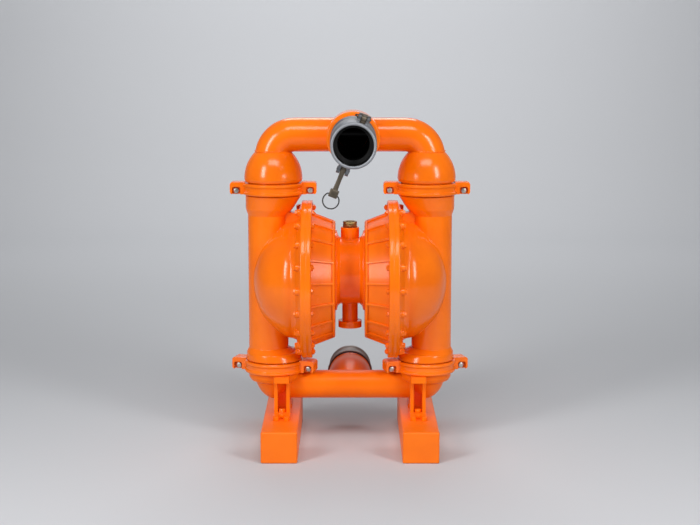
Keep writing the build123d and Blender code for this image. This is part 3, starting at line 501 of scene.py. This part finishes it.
def thread(r, pitch):
    """Radius of a right-hand thread at an angle and a height."""
    def size(angle, height):
        wave = 0.5 - 0.5 * math.cos(TAU * (height / pitch) - angle)
        return r - THREAD_DEPTH * pitch * wave
    return size


def join_loops(build, pairs):
    """Quads between each pair of equally long loops of vertices."""
    for low, high in pairs:
        for i in range(len(low)):
            j = (i + 1) % len(low)
            build.faces.new((low[i], low[j], high[j], high[i]))


def steps(start, end, count):
    return [start + (end - start) * i / count for i in range(count + 1)]


def new_mesh(name, build, angle=35):
    """Mesh from a bmesh, faces outwards, smooth except over sharp edges."""
    bmesh.ops.recalc_face_normals(build, faces=build.faces)
    mesh = bpy.data.meshes.new(name)
    build.to_mesh(mesh)
    build.free()
    for face in mesh.polygons:
        face.use_smooth = True
    mesh.set_sharp_from_angle(angle=math.radians(angle))
    return mesh


def add_piece(name, mesh, material, body, *replaced, slot):
    """Show a mesh as a piece of a body, in place of CAD nodes."""
    mesh.materials.clear()
    mesh.materials.append(material)
    obj = bpy.data.objects.new(name, mesh)
    SCENE.collection.objects.link(obj)
    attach(obj, body)
    if replaced:
        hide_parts(*replaced)
    return obj


# ------------------------------------------------------------------- hexagon fasteners

def bolt_template(size, end, nut_low, nut_high):
    """Hexagon bolt whose seat is at height 0, head up, with its nut."""
    build = bmesh.new()
    flats, head, shank, pitch = size["flats"], size["head"], size["shank"], size["pitch"]
    crown = flats * 0.46
    top = hexagon(flats, (head, crown))
    lift = 0.0004
    rows = [(head, 0), (head, crown)]
    rows += [(h, top) for h in steps(head - 0.0002, head * 0.55, 4)]
    rows += [(lift, hexagon(flats)), (lift, flats * 0.47), (0.0, flats * 0.47), (0.0, shank)]
    run = steps(nut_low + pitch, end + pitch * 0.4, 12)
    rows += [(nut_low + pitch * 1.01, shank)]
    rows += [(h, thread(shank, pitch)) for h in run]
    rows += [(end, shank * 0.78), (end, 0)]
    turn_rows(build, rows)
    middle_h = (nut_low + nut_high) / 2
    low_face = hexagon(flats, (nut_low, crown))
    high_face = hexagon(flats, (nut_high, crown))
    nut = [(nut_low, shank * 0.98), (nut_low, crown)]
    nut += [(h, low_face) for h in steps(nut_low + 0.0002, nut_low + head * 0.4, 3)]
    nut += [(middle_h, hexagon(flats))]
    nut += [(h, high_face) for h in steps(nut_high - head * 0.4, nut_high - 0.0002, 3)]
    nut += [(nut_high, crown), (nut_high, shank * 0.98)]
    turn_rows(build, nut, ring=True)
    return new_mesh("hexagon_bolt", build)


def cap_screw_template():
    """Socket-head screw with a knurled rim; seat at height 0, head up."""
    build = bmesh.new()
    key = hexagon(CAP_SCREW_KEY)

    def knurl(angle, height):
        return CAP_SCREW_R - 0.0002 * (0.5 + 0.5 * math.cos(24 * angle))

    h = CAP_SCREW_H
    rows = [
        (h * 0.45, 0), (h * 0.45, key), (h - 0.0003, key), (h, CAP_SCREW_KEY * 0.62),
        (h, CAP_SCREW_R * 0.88), (h - 0.0007, CAP_SCREW_R * 0.97), (h - 0.0012, knurl),
        (0.0012, knurl), (0.0006, CAP_SCREW_R * 0.96), (0.0, CAP_SCREW_R * 0.94), (0.0, 0),
    ]
    turn_rows(build, rows, columns=72)
    return new_mesh("cap_screw", build)


def socket(tree, label, kind, value=None, out=False):
    made = tree.interface.new_socket(
        label, in_out="OUTPUT" if out else "INPUT", socket_type=kind
    )
    if value is not None:
        made.default_value = value
    return made


def make_fastener_rows():
    """Copies of a fastener on points that say which way it faces, rolled at random."""
    tree = bpy.data.node_groups.new("fastener_rows", "GeometryNodeTree")
    socket(tree, "Places", "NodeSocketGeometry")
    socket(tree, "Fastener", "NodeSocketObject")
    socket(tree, "Roll Spread", "NodeSocketFloat", 0.0)
    socket(tree, "Seed", "NodeSocketInt", ROLL_SEED)
    socket(tree, "Finish", "NodeSocketMaterial")
    socket(tree, "Fasteners", "NodeSocketGeometry", out=True)
    start = tree.nodes.new("NodeGroupInput")
    end = tree.nodes.new("NodeGroupOutput")
    facing = tree.nodes.new("GeometryNodeInputNamedAttribute")
    facing.data_type = "FLOAT_VECTOR"
    facing.inputs["Name"].default_value = "facing"
    turn = tree.nodes.new("FunctionNodeEulerToRotation")
    link(tree, facing.outputs["Attribute"], turn.inputs["Euler"])
    info = tree.nodes.new("GeometryNodeObjectInfo")
    info.inputs["As Instance"].default_value = True
    link(tree, start.outputs["Fastener"], info.inputs["Object"])
    rows = tree.nodes.new("GeometryNodeInstanceOnPoints")
    link(tree, start.outputs["Places"], rows.inputs["Points"])
    link(tree, info.outputs["Geometry"], rows.inputs["Instance"])
    link(tree, turn.outputs["Rotation"], rows.inputs["Rotation"])
    roll = tree.nodes.new("FunctionNodeRandomValue")
    roll.data_type = "FLOAT"
    # a float random value has its minimum and maximum at inputs 2 and 3, its result at 1
    roll.inputs[2].default_value = 0.0
    link(tree, start.outputs["Roll Spread"], roll.inputs[3])
    link(tree, start.outputs["Seed"], roll.inputs["Seed"])
    about = tree.nodes.new("ShaderNodeCombineXYZ")
    link(tree, roll.outputs[1], about.inputs["Z"])
    spin = tree.nodes.new("FunctionNodeEulerToRotation")
    link(tree, about.outputs["Vector"], spin.inputs["Euler"])
    rolled = tree.nodes.new("GeometryNodeRotateInstances")
    link(tree, rows.outputs["Instances"], rolled.inputs["Instances"])
    link(tree, spin.outputs["Rotation"], rolled.inputs["Rotation"])
    real = tree.nodes.new("GeometryNodeRealizeInstances")
    link(tree, rolled.outputs["Instances"], real.inputs["Geometry"])
    coat = tree.nodes.new("GeometryNodeSetMaterial")
    link(tree, real.outputs["Geometry"], coat.inputs["Geometry"])
    link(tree, start.outputs["Finish"], coat.inputs["Material"])
    link(tree, coat.outputs["Geometry"], end.inputs["Fasteners"])
    return tree


FASTENER_ROWS = make_fastener_rows()


def solids_of(node):
    """Points of each separate solid of a CAD node."""
    mesh = NODES[node].data
    key_of = [tuple(round(c, 5) for c in v.co) for v in mesh.vertices]
    group = {key: key for key in key_of}

    def root(key):
        while group[key] != key:
            group[key] = group[group[key]]
            key = group[key]
        return key

    for edge in mesh.edges:
        a, b = (root(key_of[i]) for i in edge.vertices)
        group[a] = b
    solids = {}
    for key in group:
        solids.setdefault(root(key), []).append(Vector(key))
    return list(solids.values())


def mean(points):
    return sum(points, Vector()) / len(points)


def ends_along(points, origin, axis):
    spans = [(p - origin).dot(axis) for p in points]
    return min(spans), max(spans)


def bolt_places(node):
    """Seat, axis, end and nut span of every bolt in a node of bolts and nuts."""
    solids = solids_of(node)
    solids.sort(key=lambda pts: max((p - mean(pts)).length for p in pts), reverse=True)
    count = len(solids) // 2
    bolts, nuts = solids[:count], solids[count:]
    places = []
    for bolt in bolts:
        nut = min(nuts, key=lambda pts: (mean(pts) - mean(bolt)).length)
        axis = (mean(bolt) - mean(nut)).normalized()
        origin = mean(nut)
        low, high = ends_along(bolt, origin, axis)
        nut_low, nut_high = ends_along(nut, origin, axis)
        places.append((origin, axis, low, high, nut_low, nut_high))
    return places


def place_fasteners(name, node, template_mesh, seats, roll, slot_name):
    """One mesh of fasteners at seats given as (point, axis), shown for a CAD node."""
    template = bpy.data.objects.new("template", template_mesh)
    points = bpy.data.meshes.new("places")
    points.from_pydata([tuple(p) for p, axis in seats], [], [])
    facing = points.attributes.new("facing", "FLOAT_VECTOR", "POINT")
    for i, (p, axis) in enumerate(seats):
        facing.data[i].vector = axis.to_track_quat("Z", "Y").to_euler()
    carrier = bpy.data.objects.new("carrier", points)
    SCENE.collection.objects.link(carrier)
    modifier = carrier.modifiers.new("rows", "NODES")
    modifier.node_group = FASTENER_ROWS
    values = {"Fastener": template, "Roll Spread": roll, "Seed": ROLL_SEED}
    values["Finish"] = MATERIALS[slot_name]
    for item in FASTENER_ROWS.interface.items_tree:
        if item.in_out == "INPUT" and item.name in values:
            modifier[item.identifier] = values[item.name]
    graph = bpy.context.evaluated_depsgraph_get()
    mesh = bpy.data.meshes.new_from_object(carrier.evaluated_get(graph))
    mesh.name = name
    carrier.modifiers.clear()
    bpy.data.objects.remove(carrier)
    bpy.data.objects.remove(template)
    add_piece(name, mesh, MATERIALS[slot_name], "pump", node, slot=slot_name)


def hexagon_rows(name, node, size, roll, slot_name):
    places = bolt_places(node)
    low, high, nut_low, nut_high = places[0][2:]
    seat = high - size["head"]
    template = bolt_template(size, low - seat, nut_low - seat, nut_high - seat)
    seats = [
        (origin + axis * (top - size["head"]), axis) for origin, axis, _, top, _, _ in places
    ]
    place_fasteners(name, node, template, seats, roll, slot_name)


hexagon_rows("clamp_bolts_and_nuts_lower", "clamp_bolts_lower", M8, 0.9, "zinc_fastener")
hexagon_rows("clamp_bolts_and_nuts_upper", "clamp_bolts_upper", M8, 0.9, "zinc_fastener")
hexagon_rows("chamber_bolts_left", "ring_bolts_left", M8, 0.7, "painted_fastener")
hexagon_rows("chamber_bolts_right", "ring_bolts_right", M8, 0.7, "painted_fastener")
hexagon_rows("foot_bolts_and_nuts", "foot_bolts", M12, 0.5, "painted_fastener")


def air_valve_screws():
    seats = []
    for points in solids_of("air_valve_bolts"):
        far = max(p.y for p in points)
        centre = mean(points)
        seats.append((Vector((centre.x, far - CAP_SCREW_H, centre.z)), Vector((0, 1, 0))))
    place_fasteners(
        "air_valve_screws", "air_valve_bolts", cap_screw_template(), seats, 1.0, "zinc_fastener"
    )


air_valve_screws()


# ------------------------------------------------------------------------ cast details

def along_x(side):
    """Place whose Z runs along +X or -X, through the shaft's axis."""
    return Matrix.Translation((0, 0, DRIVE_Z)) @ Matrix.Rotation(side * math.pi / 2, 4, "Y")


def ring_piece(name, rows, place, material, slot_name, columns=120):
    """Turned ring added to the pump's body."""
    build = bmesh.new()
    turn_rows(build, rows, columns, place, ring=True)
    add_piece(name, new_mesh(name, build), MATERIALS[material], "pump", slot=slot_name)


def millimetres(rows):
    return [tuple(v / 1000 for v in row) for row in rows]


DOME_ROOT = millimetres([
    (133.4, 163.0), (134.4, 160.2), (137.0, 157.2), (141.0, 154.6), (147.0, 152.3),
    (152.0, 150.7), (150.0, 146.0), (131.0, 150.0),
])
RING_BAND = millimetres([
    (95.6, 196.2), (95.8, 200.6), (96.8, 202.0), (98.4, 202.5), (107.6, 202.5), (108.6, 202.0),
    (109.6, 202.0), (110.6, 202.5), (119.4, 202.5), (121.0, 202.0), (121.9, 200.4),
    (121.9, 197.0), (100.0, 196.4),
])
POCKET_FLOOR = millimetres([
    (43.6, 147.6), (52.0, 150.8), (92.0, 166.1), (96.7, 168.4), (96.7, 164.4), (43.6, 144.0),
])
LOW_COLLAR = millimetres([
    (17.5, 71.9, 0.0), (26.0, 70.4, 1.3), (33.4, 68.6, 3.0), (35.6, 67.9, 3.5),
    (36.8, 66.4, 4.2), (37.3, 63.0, 5.0), (30.0, 60.0, 4.0), (17.5, 66.0, 0.0),
])
SUCTION_BOSS = millimetres([
    (-8.0, 54.6), (-6.0, 56.0), (-1.8, 56.4), (-0.2, 55.6),
    (0.2, 54.5), (0.2, 50.0), (-8.0, 50.0),
])

for side, word in ((1, "right"), (-1, "left")):
    ring_piece(f"dome_root_{word}", DOME_ROOT, along_x(side), "orange_casting", "orange_casting")
    ring_piece(
        f"ring_band_{word}", RING_BAND, along_x(side), "orange_casting", "orange_casting", 180
    )
    ring_piece(
        f"air_chamber_pockets_{word}", POCKET_FLOOR, along_x(side), "air_chamber",
        "orange_casting",
    )
    column = Matrix.Translation((side * COLUMN_X, 0, LOW_JOINT_Z))
    if side < 0:
        column = column @ Matrix.Rotation(math.pi, 4, "Z")
    ring_piece(f"low_collar_{word}", LOW_COLLAR, column, "orange_casting", "orange_casting")

ALONG_Y = Matrix.Rotation(-math.pi / 2, 4, "X")
BOSS_PLACE = Matrix.Translation((0, BOSS_END_Y, ADAPTER_Z)) @ ALONG_Y
ring_piece("suction_boss_rim", SUCTION_BOSS, BOSS_PLACE, "orange_casting", "orange_casting")


BEAD_WIRE = 0.0020
BEAD_R = 0.0440
BEAD_RISE = 0.0955          # above the foot of the discharge manifold
BEAD_OUT = 0.002            # outboard of the column


def elbow_bead(side):
    """Weld-like bead where an elbow leaves its bulb."""
    height = corners("discharge_manifold")[0].z + BEAD_RISE
    turns = steps(0, TAU, 10)[:-1]
    rows = [(BEAD_WIRE * math.sin(a), BEAD_R + BEAD_WIRE * math.cos(a)) for a in turns]
    place = Matrix.Translation((side * (COLUMN_X + BEAD_OUT), 0, height))
    return rows, place


for side, word in ((1, "right"), (-1, "left")):
    rows, place = elbow_bead(side)
    ring_piece(f"elbow_bead_{word}", rows, place, "orange_casting", "orange_casting")


WEB_HALF = 0.024            # half a neck web's thickness
WEB_SOFT = 0.12             # share by which its outline draws in at its two faces
EASE_PER_SOFT = 0.02        # depth of that easing, in metres for a share of one


def prism(build, outline, half, soft):
    """Slab with this outline in X and Z, this far either side of Y 0, with eased sides."""
    centre = sum((Vector((x, 0, z)) for x, z in outline), Vector()) / len(outline)
    inner = half - soft * EASE_PER_SOFT
    loops = []
    for y, keep in ((-half, 1 - soft), (-inner, 1.0), (inner, 1.0), (half, 1 - soft)):
        loop = []
        for x, z in outline:
            point = centre + (Vector((x, 0, z)) - centre) * keep
            loop.append(build.verts.new(Vector((point.x, y, point.z))))
        loops.append(loop)
    join_loops(build, zip(loops, loops[1:]))
    build.faces.new(loops[0])
    build.faces.new(loops[-1])


def neck_webs():
    """Web between each upper neck and the top of its chamber ring."""
    outline = millimetres([
        (131.0, 566.0), (176.0, 566.0), (176.0, 606.0), (160.0, 604.5), (148.0, 600.0),
        (138.0, 598.4), (131.0, 598.2),
    ])
    for side, word in ((1, "right"), (-1, "left")):
        build = bmesh.new()
        prism(build, [(side * x, z) for x, z in outline], WEB_HALF, WEB_SOFT)
        add_piece(
            f"neck_web_{word}", new_mesh(f"neck_web_{word}", build), MATERIALS["orange_casting"],
            "pump", slot="orange_casting",
        )


neck_webs()


def slim_coupler():
    """Copy of the coupler with its bell narrower than the solid's towards the mouth."""
    source = NODES["discharge_coupler"].data
    build = bmesh.new()
    build.from_mesh(source)
    bmesh.ops.remove_doubles(build, verts=build.verts, dist=1e-5)
    skin_in, skin_out = BELL_SKIN
    for vert in build.verts:
        off = Vector((vert.co.x - COUPLER_AXIS.x, 0, vert.co.z - COUPLER_AXIS.z))
        on_bell = BELL_R - skin_in < off.length < BELL_R + skin_out
        if on_bell and vert.co.y < SLIMMING_START_Y:
            nearness = min(max((SLIMMING_START_Y - vert.co.y) / SLIMMING_RUN, 0.0), 1.0)
            off = off.normalized() * (off.length - BELL_SLIMMING * nearness)
            vert.co.x, vert.co.z = COUPLER_AXIS.x + off.x, COUPLER_AXIS.z + off.z
    mesh = new_mesh("coupler_body", build, 30)
    add_piece(
        "coupler_body", mesh, MATERIALS["coupler_aluminium"], "pump", "discharge_coupler",
        slot="coupler_aluminium",
    )


slim_coupler()


def make_adapter():
    """Cast adapter with a wide collar against a black seal ring that also stands in for the shadow in the gap at
    the boss, and a rolled end.
    """
    # Black ring that also stands in for the shadow in the gap between boss and collar.
    seal_and_gap_shade = millimetres([
        (0.3, 50.0), (0.3, 57.4), (0.9, 58.2), (5.1, 58.2), (5.7, 57.4), (5.7, 50.0),
    ])
    ring_piece("suction_seal", seal_and_gap_shade, BOSS_PLACE, "rubber", "rubber")
    body = millimetres([
        (5.8, 57.8), (6.6, 59.6), (7.4, 60.0), (9.4, 60.0), (11.0, 59.4), (12.2, 57.8),
        (14.2, 54.2), (18.0, 52.2), (70.0, 52.0), (76.0, 53.0), (78.5, 55.4), (81.0, 56.4),
        (86.0, 56.4), (88.2, 55.4), (89.0, 53.4), (89.0, 41.0), (87.0, 38.3), (4.5, 38.3),
        (0.0, 33.4), (-27.0, 33.4), (-27.6, 36.0), (-27.0, 42.6), (5.8, 42.6),
    ])
    build = bmesh.new()
    turn_rows(build, body, 144, BOSS_PLACE, ring=True)
    mesh = new_mesh("suction_adapter_body", build, 40)
    add_piece(
        "suction_adapter_body", mesh, MATERIALS["adapter_grey"], "pump", "suction_adapter",
        slot="adapter_grey",
    )


make_adapter()


# ----------------------------------------------------------------------- inlet bushing

def make_bushing():
    """Brass hexagon bushing with a ridged collar and a threaded bore."""
    low, high = corners("air_inlet_bushing")
    centre = (low + high) / 2
    boss_z = high.z - 0.015
    height = high.z - boss_z
    flats = min(high.x - low.x, high.y - low.y)
    bore, pitch = 0.0105, 0.0018
    hex_top = height * 0.52
    collar_r = flats * 0.5

    def ridged(angle, z):
        return collar_r - 0.0009 * (0.5 + 0.5 * math.cos(28 * angle)) ** 2

    lower = hexagon(flats, (0.0, flats * 0.49))
    upper = hexagon(flats, (hex_top, flats * 0.49))
    rows = [(0.0, flats * 0.49)]
    rows += [(h, lower) for h in steps(0.0003, hex_top * 0.3, 3)]
    rows += [(h, upper) for h in steps(hex_top * 0.7, hex_top - 0.0003, 3)]
    rows += [(hex_top, flats * 0.47), (hex_top + 0.0008, collar_r * 0.93)]
    rows += [(hex_top + 0.0014, ridged), (height - 0.0016, ridged)]
    rows += [(height, collar_r * 0.92), (height, bore + 0.0016)]
    rows += [(h, lambda a, z: bore + 0.0004 + thread(0.0, pitch)(a, z) + pitch * THREAD_DEPTH)
             for h in steps(height - 0.0012, -0.014, 60)]
    rows += [(-0.016, bore), (low.z - boss_z, bore), (low.z - boss_z, 0.0155), (-0.0002, 0.0155)]
    build = bmesh.new()
    turn_rows(
        build, rows, columns=84, place=Matrix.Translation((centre.x, centre.y, boss_z)), ring=True
    )
    mesh = new_mesh("ridged_bushing", build, 40)
    add_piece("ridged_bushing", mesh, MATERIALS["brass"], "pump", "air_inlet_bushing", slot="brass")


make_bushing()


# --------------------------------------------------------------------------- cam arms

JOINTS = {joint["name"]: joint for joint in frame["joints"]}


def arm_frame(level):
    """Place of a cam arm: X along its pin, Y along its lever, Z off its back."""
    pin = Vector(JOINTS[f"cam_arm_{level}_swing"]["pos_m"])
    across = Vector(JOINTS[f"cam_arm_{level}_swing"]["axis"]).normalized()
    hole = Vector(JOINTS[f"finger_ring_{level}_swing"]["pos_m"])
    reach = hole - pin
    tilt = math.asin(LEVER_RISE / reach.length)
    lever = (Matrix.Rotation(-tilt, 3, across) @ reach).normalized()
    back = across.cross(lever)
    place = Matrix((across, lever, back)).transposed().to_4x4()
    place.translation = pin
    return place, reach.length * math.cos(tilt)


def rounded_section(half, low, high, corner, count=5):
    """Rounded rectangle in X and Z as a closed list of points."""
    points = []
    for cx, cz, start in (
        (half - corner, high - corner, 0), (corner - half, high - corner, 90),
        (corner - half, low + corner, 180), (half - corner, low + corner, 270),
    ):
        for i in range(count + 1):
            a = math.radians(start + 90 * i / count)
            points.append((cx + corner * math.cos(a), cz + corner * math.sin(a)))
    return points


def skin_sections(build, sections, place):
    """Closed shape through sections given as (y, points in X and Z)."""
    loops = []
    for y, points in sections:
        loops.append([build.verts.new(place @ Vector((x, y, z))) for x, z in points])
    join_loops(build, zip(loops, loops[1:]))
    build.faces.new(loops[0])
    build.faces.new(loops[-1])


def make_arm(level):
    """Forged cam arm: hub and cam lobe on the pin, waisted lever, sleeve for the ring."""
    place, reach = arm_frame(level)
    build = bmesh.new()
    sideways = place @ Matrix.Rotation(math.radians(90), 4, "Y")
    hub = LEVER_HALF - 0.0009
    rows = [
        (-LEVER_HALF, 0), (-LEVER_HALF, LEVER_HUB_R - 0.0009), (-hub, LEVER_HUB_R),
        (hub, LEVER_HUB_R), (LEVER_HALF, LEVER_HUB_R - 0.0009), (LEVER_HALF, 0),
    ]
    turn_rows(build, rows, 48, sideways)
    lobe_place = place @ Matrix.Translation((0, 0, -LEVER_LOBE_DROP))
    rows = [
        (-LEVER_HALF, 0), (-LEVER_HALF, LEVER_LOBE_R - 0.0009), (-hub, LEVER_LOBE_R),
        (hub, LEVER_LOBE_R), (LEVER_HALF, LEVER_LOBE_R - 0.0009), (LEVER_HALF, 0),
    ]
    turn_rows(build, rows, 40, lobe_place @ Matrix.Rotation(math.radians(90), 4, "Y"))
    sections = []
    for t in steps(0.0, 1.0, 14):
        y = t * (reach - SLEEVE_BACK * 0.4)
        waist = 1.0 - 0.16 * math.sin(math.pi * min(t * 1.15, 1.0))
        low = -0.0012 + 0.0006 * math.sin(math.pi * t)
        high = LEVER_HUB_R + (0.0062 - LEVER_HUB_R) * min(t * 2.2, 1.0)
        sections.append((y, rounded_section(LEVER_HALF * waist, low, high, 0.0016)))
    skin_sections(build, sections, place)
    sections = []
    for y, grow in (
        (reach - SLEEVE_BACK, 0.72), (reach - SLEEVE_BACK + 0.0012, 0.93),
        (reach - SLEEVE_BACK + 0.003, 1.0), (reach - 0.002, 1.0), (reach + 0.003, 0.98),
        (reach + 0.0052, 0.86), (reach + 0.0063, 0.62),
    ):
        low = LEVER_RISE - SLEEVE_R * grow
        high = LEVER_RISE + SLEEVE_R * grow
        half = SLEEVE_HALF * (0.9 + 0.1 * grow)
        sections.append((y, rounded_section(half, low, high, 0.0026 * grow)))
    skin_sections(build, sections, place)
    mesh = new_mesh(f"forged_arm_{level}", build, 40)
    add_piece(
        f"forged_arm_{level}", mesh, MATERIALS["arm_bronze"], f"arm_{level}",
        f"cam_arm_{level}", slot="arm_bronze",
    )


make_arm("upper")
make_arm("lower")


def tube(build, points, r, sides=12):
    """Closed tube of this radius through a loop of points."""
    count = len(points)
    loops = []
    normal = None
    for i, point in enumerate(points):
        ahead = (points[(i + 1) % count] - points[i - 1]).normalized()
        if normal is None:
            normal = ahead.orthogonal().normalized()
        normal = (normal - ahead * normal.dot(ahead)).normalized()
        other = ahead.cross(normal)
        loop = []
        for j in range(sides):
            a = TAU * j / sides
            loop.append(build.verts.new(point + (normal * math.cos(a) + other * math.sin(a)) * r))
        loops.append(loop)
    join_loops(build, zip(loops, loops[1:] + loops[:1]))


def make_finger_ring(level):
    """Pull ring of drawn wire: a bow whose straight side runs through the sleeve."""
    joint = JOINTS[f"finger_ring_{level}_swing"]
    hole = Vector(joint["pos_m"])
    across = Vector(joint["axis"]).normalized()
    reach = mean([v for part in solids_of(f"finger_ring_{level}") for v in part]) - hole
    down = (reach - across * reach.dot(across)).normalized()
    drop = math.sqrt(PULL_RING_R**2 - PULL_RING_BAR**2)
    open_angle = math.asin(PULL_RING_BAR / PULL_RING_R)
    points = []
    for a in steps(open_angle + 0.12, TAU - open_angle - 0.12, 44):
        side = PULL_RING_R * math.sin(a)
        points.append(hole + across * side + down * (drop - PULL_RING_R * math.cos(a)))
    inset = PULL_RING_BAR * 0.86
    points += [hole + across * x for x in steps(-inset, inset, 8)]
    build = bmesh.new()
    tube(build, points, PULL_RING_WIRE)
    add_piece(
        f"pull_ring_{level}", new_mesh(f"pull_ring_{level}", build, 60), MATERIALS["steel_wire"],
        f"ring_{level}", f"finger_ring_{level}", slot="steel_wire",
    )


make_finger_ring("upper")
make_finger_ring("lower")


# ------------------------------------------------------------------------------ studio

def make_floor():
    """Pale floor that curves up into a backdrop behind the pump."""
    width = 9.0             # to either side
    front, back = -9.0, 4.8
    rise, bend = 4.4, 1.2
    profile = [(front, 0.0), (back - bend, 0.0)]
    for a in steps(7.5, 90.0, 11):
        a = math.radians(a)
        profile.append((back - bend + bend * math.sin(a), bend - bend * math.cos(a)))
    profile.append((back, rise))
    build = bmesh.new()
    rows = [[build.verts.new((x, y, z)) for x in (-width, width)] for y, z in profile]
    for a, b in zip(rows, rows[1:]):
        build.faces.new((a[0], a[1], b[1], b[0]))
    mesh = new_mesh("studio_floor", build, 60)
    floor = bpy.data.objects.new("studio_floor", mesh)
    SCENE.collection.objects.link(floor)
    material, tree, shader = start_material("floor_paper", 0.9, specular=0.1)
    shader.inputs["Base Color"].default_value = colour(0.56, 0.57, 0.59)
    mesh.materials.append(material)


def softbox(name, azimuth, elevation, distance, width, height, power, aim=(0, 0, 0.45)):
    """Rectangular lamp aimed at the pump; azimuth 0 stands on the camera's side."""
    a, e = math.radians(azimuth), math.radians(elevation)
    aim = Vector(aim)
    away = Vector((math.sin(a) * math.cos(e), -math.cos(a) * math.cos(e), math.sin(e)))
    lamp = bpy.data.lights.new(name, "AREA")
    lamp.shape = "RECTANGLE"
    lamp.size, lamp.size_y = width, height
    lamp.energy = power
    obj = bpy.data.objects.new(name, lamp)
    obj.location = aim + away * distance
    obj.rotation_mode = "QUATERNION"
    obj.rotation_quaternion = away.to_track_quat("Z", "Y")
    SCENE.collection.objects.link(obj)


def make_world():
    world = bpy.data.worlds.new("studio_world")
    world.use_nodes = True
    sky = world.node_tree.nodes["Background"]
    sky.inputs["Color"].default_value = colour(0.80, 0.82, 0.86)
    sky.inputs["Strength"].default_value = 0.20
    SCENE.world = world


def make_camera():
    camera = bpy.data.objects.new("camera", bpy.data.cameras.new("camera"))
    camera.data.lens = 73.33
    camera.data.sensor_width = 36.0
    camera.data.shift_y = -0.05
    camera.location = (0.0, -3.6148, 1.0543)
    camera.rotation_euler = (math.radians(90 - 7.794), 0, 0)
    camera.data.clip_end = 50.0
    SCENE.collection.objects.link(camera)
    SCENE.camera = camera


make_floor()
make_world()
make_camera()
softbox("key_left", -42, 22, 3.2, 0.7, 1.6, 50)
softbox("key_right", 42, 22, 3.2, 0.7, 1.6, 45)
softbox("overhead", 0, 54, 2.8, 1.8, 0.8, 30)
softbox("rear", 180, 48, 3.0, 1.6, 0.8, 24)
softbox("backdrop_wash", 0, 42, 2.4, 4.0, 0.4, 60, aim=(0, 4.8, 1.0))
SCENE.view_settings.view_transform = "Standard"
